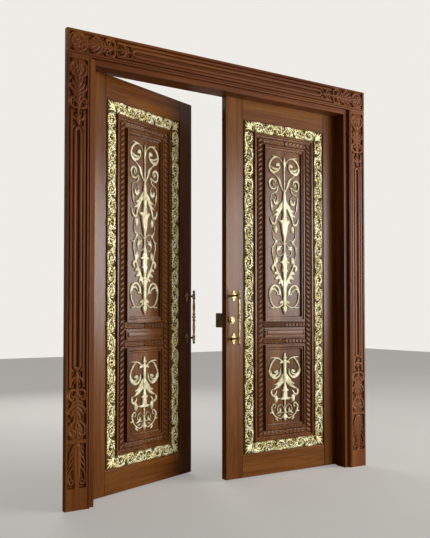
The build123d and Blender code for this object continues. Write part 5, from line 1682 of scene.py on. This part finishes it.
    def husks(self) -> None:
        """The two short runs of husks above and below the block."""
        start, end = self.rope_inset + self.rope_width, self.width - self.rope_inset - self.rope_width
        gap = (self.block_low - self.lower_high - self.husk_height) / 2
        lows = [self.lower_high + gap, self.block_low + self.block_height + gap]
        sheets = []
        for low in lows:
            high = low + self.husk_height
            relief = Relief(steps(start, end, self.husk_fine), steps(low, high, self.husk_fine), 0.0)
            ends, sides = self.husk_margin, self.husk_side
            relief.scales((start + ends, low + sides), (end - ends, high - sides), self.axis, self.husk_pitch,
                          self.husk_rise)
            relief.height = np.maximum(relief.height, 0) + self.husk_ground + self.panel_front
            # Painted shade between the husks
            dark = relief.shade_in_hollows(self.panel_front + self.husk_ground, self.panel_front + self.husk_dark,
                                  self.husk_floor_share)
            sheet = carved_sheet("husk_strip", relief, dark)
            close_back(sheet, self.panel_front, 1)
            sheets.append(sheet)
        pick(sheets[0])
        sheets[1].select_set(True)
        bpy.ops.object.join()
        smooth(sheets[0], CARVED_ANGLE)
        self.place(sheets[0], "husk_strips", self.finishes.leaf_level[self.side], "leaf_wood")

    def moulded_ring(self, node: str, inset: float, low: float, high: float, side: float, end: float,
                     section: Sequence[Point]) -> None:
        """A mitred moulding round a rectangle, from its section.

        Args:
            node: the node that it stands for.
            inset: its outer edge, from the leaf's edge.
            low: its lowest place.
            high: its highest place.
            side: width of its uprights.
            end: width of its level lengths.
            section: share of the width from outside, and height over the panel.
        """
        section = [*section, (1, 0)]
        ring = stepped_form(self.axis - inset, (high - low) / 2, [(s * side, s * end, h) for s, h in section])
        bpy.ops.mesh.delete(type="FACE")
        bpy.ops.object.mode_set(mode="OBJECT")
        select_where(ring, "FACE", lambda p: max(abs(p.x), abs(p.y)) < 1 and abs(p.z) < ON_LINE)
        bpy.ops.mesh.delete(type="ONLY_FACE")
        bpy.ops.object.mode_set(mode="OBJECT")
        select_where(ring, "VERT", lambda p: abs(p.z) < ON_LINE)
        bpy.ops.mesh.select_mode(type="EDGE")
        bpy.ops.mesh.bridge_edge_loops()
        face_outward()
        bpy.ops.transform.translate(value=Vector((self.axis, (high + low) / 2, self.panel_front)) * MM)
        bpy.ops.object.mode_set(mode="OBJECT")
        smooth(ring, MOULDED_ANGLE)
        self.place(ring, node, self.finishes.leaf_upright, "leaf_wood")

    def mouldings(self) -> None:
        """The outer moulding and the stepped frames of the two fields."""
        outer = [(share, rise * self.outer_height) for share, rise in OUTER_SECTION]
        low = self.border_low + self.border_width + 1
        high = self.border_high - self.border_width - 1
        wide = self.outer_width
        self.moulded_ring("outer_moulding", self.outer_inset, low, high, wide, wide, outer)
        stepped = [(share, rise * self.frame_height) for share, rise in FRAME_SECTION]
        for node, low, high in (("lower_frame", self.lower_low, self.lower_high),
                                ("upper_frame", self.upper_low, self.upper_high)):
            self.moulded_ring(node, self.frame_inset, low, high, self.frame_side, self.frame_end, stepped)

    def block(self) -> None:
        """The plain moulded block between the husks."""
        half = self.block_height / 2
        section = [(inset, inset, height) for inset, height in BLOCK_SECTION]
        block = stepped_form(self.axis - self.frame_inset, half, section)
        face_outward()
        bpy.ops.transform.translate(value=Vector((self.axis, self.block_low + half, self.panel_front)) * MM)
        bpy.ops.object.mode_set(mode="OBJECT")
        smooth(block, MOULDED_ANGLE)
        self.place(block, "middle_block", self.finishes.leaf_level[self.side], "leaf_wood")

    def grip(self) -> None:
        """The turned bar of the pull handle."""
        outline = GRIP_PROFILE + [(r, -z) for r, z in reversed(GRIP_PROFILE[:-1])]
        mesh = bpy.data.meshes.new("handle_grip")
        edges = [(i, i + 1) for i in range(len(outline) - 1)]
        mesh.from_pydata([(r * MM, 0, z * MM) for r, z in outline], edges, [])
        grip = bpy.data.objects.new("handle_grip", mesh)
        bpy.context.scene.collection.objects.link(grip)
        edit(grip, "VERT")
        bpy.ops.mesh.select_all(action="SELECT")
        bpy.ops.mesh.spin(steps=GRIP_FACETS, angle=2 * math.pi, center=(0, 0, 0), axis=(0, 0, 1))
        bpy.ops.mesh.select_all(action="SELECT")
        bpy.ops.mesh.remove_doubles(threshold=2 * WELD)
        bpy.ops.mesh.normals_make_consistent(inside=False)
        bpy.ops.object.mode_set(mode="OBJECT")
        across = self.handle_inset if self.side is Side.RIGHT else self.width - self.handle_inset
        upright = Matrix(((1, 0, 0, across * MM), (0, 0, 1, self.handle_height * MM),
                          (0, -1, 0, self.handle_out * MM), (0, 0, 0, 1)))
        grip.data.transform(upright)
        smooth(grip, TURNED_ANGLE)
        self.place(grip, "handle_grip", self.finishes.brass, "brass")

    def build(self) -> None:
        """Makes every applied piece of the leaf."""
        self.border()
        self.rope()
        log.info("%s border and rope band carved", self.side.value)
        self.mouldings()
        self.ornament("upper_ornament", self.upper_low + self.frame_end, self.upper_high - self.frame_end,
                      UPPER_BASE, UPPER_BANDS + UPPER_LEAVES, UPPER_BUDS, UPPER_SPINE)
        self.ornament("lower_ornament", self.lower_low + self.frame_end, self.lower_high - self.frame_end,
                      LOWER_BASE, LOWER_BANDS + LOWER_LEAVES, LOWER_BUDS, LOWER_SPINE)
        self.husks()
        self.block()
        self.grip()


@dataclass
class Joinery:
    """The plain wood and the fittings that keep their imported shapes."""

    finishes: Finishes
    easing: float = 2.2
    long_edge: float = 60.0
    face_depth: float = 0.5
    groove_share: float = 0.35

    def dress(self, node: str, finish: Finish) -> None:
        """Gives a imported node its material."""
        coat(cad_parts[node], finish)

    def flat_places(self, piece: Piece, leaf: Leaf) -> list[Vector]:
        """A piece's corners on its leaf's working plane, in millimetres."""
        flat = leaf.plane().matrix().inverted()
        return [(flat @ vertex.co) / MM for vertex in piece.data.vertices]

    def shoulders(self, piece: Piece, leaf: Leaf) -> list[float]:
        """Where a stile's or rail's face meets its neighbours.

        Args:
            piece: the stile or rail.
            leaf: the leaf that it belongs to.

        Returns:
            The joints' places across the leaf, in millimetres.
        """
        face = [place.x for place in self.flat_places(piece, leaf) if place.z > -self.face_depth]
        ends = (min(face), max(face))
        nearest = min(abs(end - leaf.axis) for end in ends)
        return [end for end in ends if abs(end - leaf.axis) < nearest + self.easing]

    def darken(self, piece: Piece, leaf: Leaf, joints: Sequence[float]) -> None:
        """Paints shade into the bottoms of the joints' grooves, as dark shadow lines between the parts.

        Args:
            piece: the eased stile or rail.
            leaf: the leaf that it belongs to.
            joints: the joints' places across the leaf.
        """
        reach = self.easing * self.groove_share
        marks = [float(place.z > -2 * self.easing and any(abs(place.x - joint) < reach for joint in joints))
                 for place in self.flat_places(piece, leaf)]
        recess_shade = piece.data.attributes.new("recess_shade", "FLOAT", "POINT")
        recess_shade.data.foreach_set("value", marks)

    def eased(self, node: str, leaf: Leaf, finish: Finish) -> None:
        """A copy of a plain wooden node with its long edges planed off a little.

        Args:
            node: the node to copy.
            leaf: the leaf that it belongs to.
            finish: its wood.
        """
        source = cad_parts[node]
        piece = bpy.data.objects.new(f"{node}_eased", source.data.copy())
        bpy.context.scene.collection.objects.link(piece)
        edit(piece, "EDGE")
        bpy.ops.mesh.select_all(action="SELECT")
        bpy.ops.mesh.remove_doubles(threshold=WELD)
        bpy.ops.mesh.dissolve_limited(angle_limit=math.radians(1))
        bpy.ops.mesh.select_all(action="DESELECT")
        bpy.ops.mesh.edges_select_sharp(sharpness=math.radians(60))
        bpy.ops.object.mode_set(mode="OBJECT")
        joints = self.shoulders(piece, leaf)
        corners = piece.data.vertices
        for edge in piece.data.edges:
            first, second = (corners[i].co for i in edge.vertices)
            edge.select = edge.select and (first - second).length > self.long_edge * MM
        bpy.ops.object.mode_set(mode="EDIT")
        bpy.ops.transform.edge_bevelweight(value=1)
        bpy.ops.object.mode_set(mode="OBJECT")
        easing = piece.modifiers.new("easing", "BEVEL")
        easing.limit_method = "WEIGHT"
        easing.width = self.easing * MM
        easing.segments = 2
        easing.use_clamp_overlap = False
        pick(piece)
        bpy.ops.object.modifier_apply(modifier=easing.name)
        # Painted shadow lines along the joints
        self.darken(piece, leaf, joints)
        smooth(piece, EASED_ANGLE)
        even = piece.modifiers.new("even", "WEIGHTED_NORMAL")
        even.weight = 100
        even.keep_sharp = True
        bpy.ops.object.modifier_apply(modifier=even.name)
        settle(piece, leaf.body, finish, node)

    def build(self) -> None:
        """Dresses every node that is not replaced by a carved piece."""
        woods = self.finishes
        for node in ("left_jamb", "right_jamb"):
            self.dress(node, woods.frame_upright)
        self.dress("head_jamb", woods.frame_level)
        for side in Side:
            leaf = Leaf(side, woods)
            level = woods.leaf_level[side]
            for node, finish in (("hinge_stile", woods.leaf_upright), ("meeting_stile", woods.leaf_upright),
                                 ("top_rail", level), ("bottom_rail", level)):
                self.eased(f"{side.value}_{node}", leaf, finish)
            for node, finish in (("field_panel", woods.leaf_upright), ("handle_posts", woods.brass),
                                 ("leaf_hinges", woods.brass), ("tower_bolt_case", woods.brass),
                                 ("hinge_screws", woods.screw), ("fitting_screws", woods.screw),
                                 ("tower_bolt_rod", woods.steel), ("jamb_hinges", woods.brass)):
                self.dress(f"{side.value}_{node}", finish)
        for node in ("hinge_pins", "socket_plates", "thumb_turn", "lock_cylinder", "lock_plug"):
            self.dress(node, woods.brass)
        for node in ("lock_keeper", "lock_case", "lock_plate"):
            self.dress(node, woods.bronze)
        self.dress("jamb_hinge_screws", woods.screw)
        self.dress("lock_bolts", woods.steel)
        log.info("plain joinery and fittings dressed")


@dataclass
class Studio:
    """A plain pale floor, soft light and the camera."""

    eye: Vector = Vector((-2.4404, -3.5173, 1.0035))
    yaw: float = -33.182
    pitch: float = 1.588
    lens: float = 49.40
    rise: float = 0.0407
    floor_shade: Shade = (0.46, 0.44, 0.41)
    floor_glow: float = 0.26
    key_power: float = 620.0
    fill_power: float = 4.0
    back_power: float = 70.0
    sky: float = 0.07

    def lamp(self, name: str, place: Vector, target: Vector, size: Point, power: float) -> None:
        """A soft lamp with a flat rectangular face.

        Args:
            name: the lamp's name.
            place: where it hangs.
            target: what it looks at.
            size: its width and height.
            power: its strength in watts.
        """
        bpy.ops.object.light_add(type="AREA", location=place)
        lamp = bpy.context.object
        lamp.name = name
        lamp.data.shape = "RECTANGLE"
        lamp.data.size, lamp.data.size_y = size
        lamp.data.energy = power
        lamp.rotation_euler = (target - place).to_track_quat("-Z", "Y").to_euler()

    def world(self) -> None:
        """Even light all round, with a pale background for the camera and for reflections."""
        world = bpy.data.worlds.new("studio")
        bpy.context.scene.world = world
        recipe = Recipe(world)
        light = recipe.add("ShaderNodeBackground")
        light.inputs["Color"].default_value = (1.0, 0.98, 0.95, 1)
        light.inputs["Strength"].default_value = self.sky
        backdrop = recipe.add("ShaderNodeBackground")
        backdrop.inputs["Color"].default_value = (0.86, 0.84, 0.80, 1)
        backdrop.inputs["Strength"].default_value = 1.0
        path = recipe.add("ShaderNodeLightPath")
        shown = recipe.greater(path.outputs["Is Camera Ray"], path.outputs["Is Glossy Ray"])
        shown = recipe.greater(shown, path.outputs["Is Transmission Ray"])
        mix = recipe.add("ShaderNodeMixShader")
        out = recipe.add("ShaderNodeOutputWorld")
        recipe.join(shown, mix.inputs["Fac"])
        recipe.join(light.outputs["Background"], mix.inputs[1])
        recipe.join(backdrop.outputs["Background"], mix.inputs[2])
        recipe.join(mix.outputs["Shader"], out.inputs["Surface"])

    def floor(self) -> None:
        """A pale floor that takes the door's shadow."""
        deselect()
        bpy.ops.mesh.primitive_plane_add(size=24, location=(0, 0, 0))
        floor = bpy.context.object
        floor.name = "studio_floor"
        recipe = Recipe.material("studio_floor")
        grain = recipe.noise(recipe.place(), (3, 3, 3), 0, 3)
        darker = tuple(c * 0.97 for c in self.floor_shade)
        shade = recipe.ramp(grain, [(0.3, darker), (0.7, self.floor_shade)])
        shader = recipe.surface(shade, recipe.span(grain, 0.75, 0.85), grain, HARD_BUMP)
        shader.inputs["Emission Color"].default_value = (1.0, 0.97, 0.93, 1)
        seen = recipe.add("ShaderNodeLightPath").outputs["Is Camera Ray"]
        recipe.join(recipe.span(seen, 0.0, self.floor_glow), shader.inputs["Emission Strength"])
        floor.data.materials.append(recipe.owner)

    def camera(self) -> None:
        """The camera, where the photograph was taken from."""
        bpy.ops.object.camera_add(location=self.eye)
        camera = bpy.context.object
        camera.rotation_euler = (math.radians(90 + self.pitch), 0, math.radians(self.yaw))
        camera.data.lens = self.lens
        camera.data.sensor_width = 36.0
        camera.data.shift_y = self.rise
        camera.data.clip_end = 60.0
        bpy.context.scene.camera = camera

    def build(self) -> None:
        """Sets up floor, light and camera."""
        self.floor()
        for name, place, target, size, power in (
            ("window", (5.4, -4.5, 1.85), (0.0, 0.1, 1.6), (6.4, 2.3), self.key_power),
            ("fill", (-3.4, -3.6, 2.6), (0, 0, 1.2), (2.4, 2.4), self.fill_power),
            ("back", (0.6, 4.4, 2.8), (0, 0.3, 1.0), (2.4, 2.4), self.back_power),
        ):
            self.lamp(name, Vector(place), Vector(target), size, power)
        self.world()
        self.camera()
        bpy.context.scene.view_settings.view_transform = "Standard"


def main() -> None:
    """Builds the door's pieces and the studio round them."""
    finishes = Finishes()
    Casings(finishes).build()
    log.info("casings built")
    for side in Side:
        Leaf(side, finishes).build()
        log.info("%s leaf built", side.value)
    Joinery(finishes).build()
    Studio().build()
    log.info("studio set up")
    deselect()


if __name__ == "__main__":
    logging.basicConfig(level=logging.INFO, format="%(name)s: %(message)s")
    main()
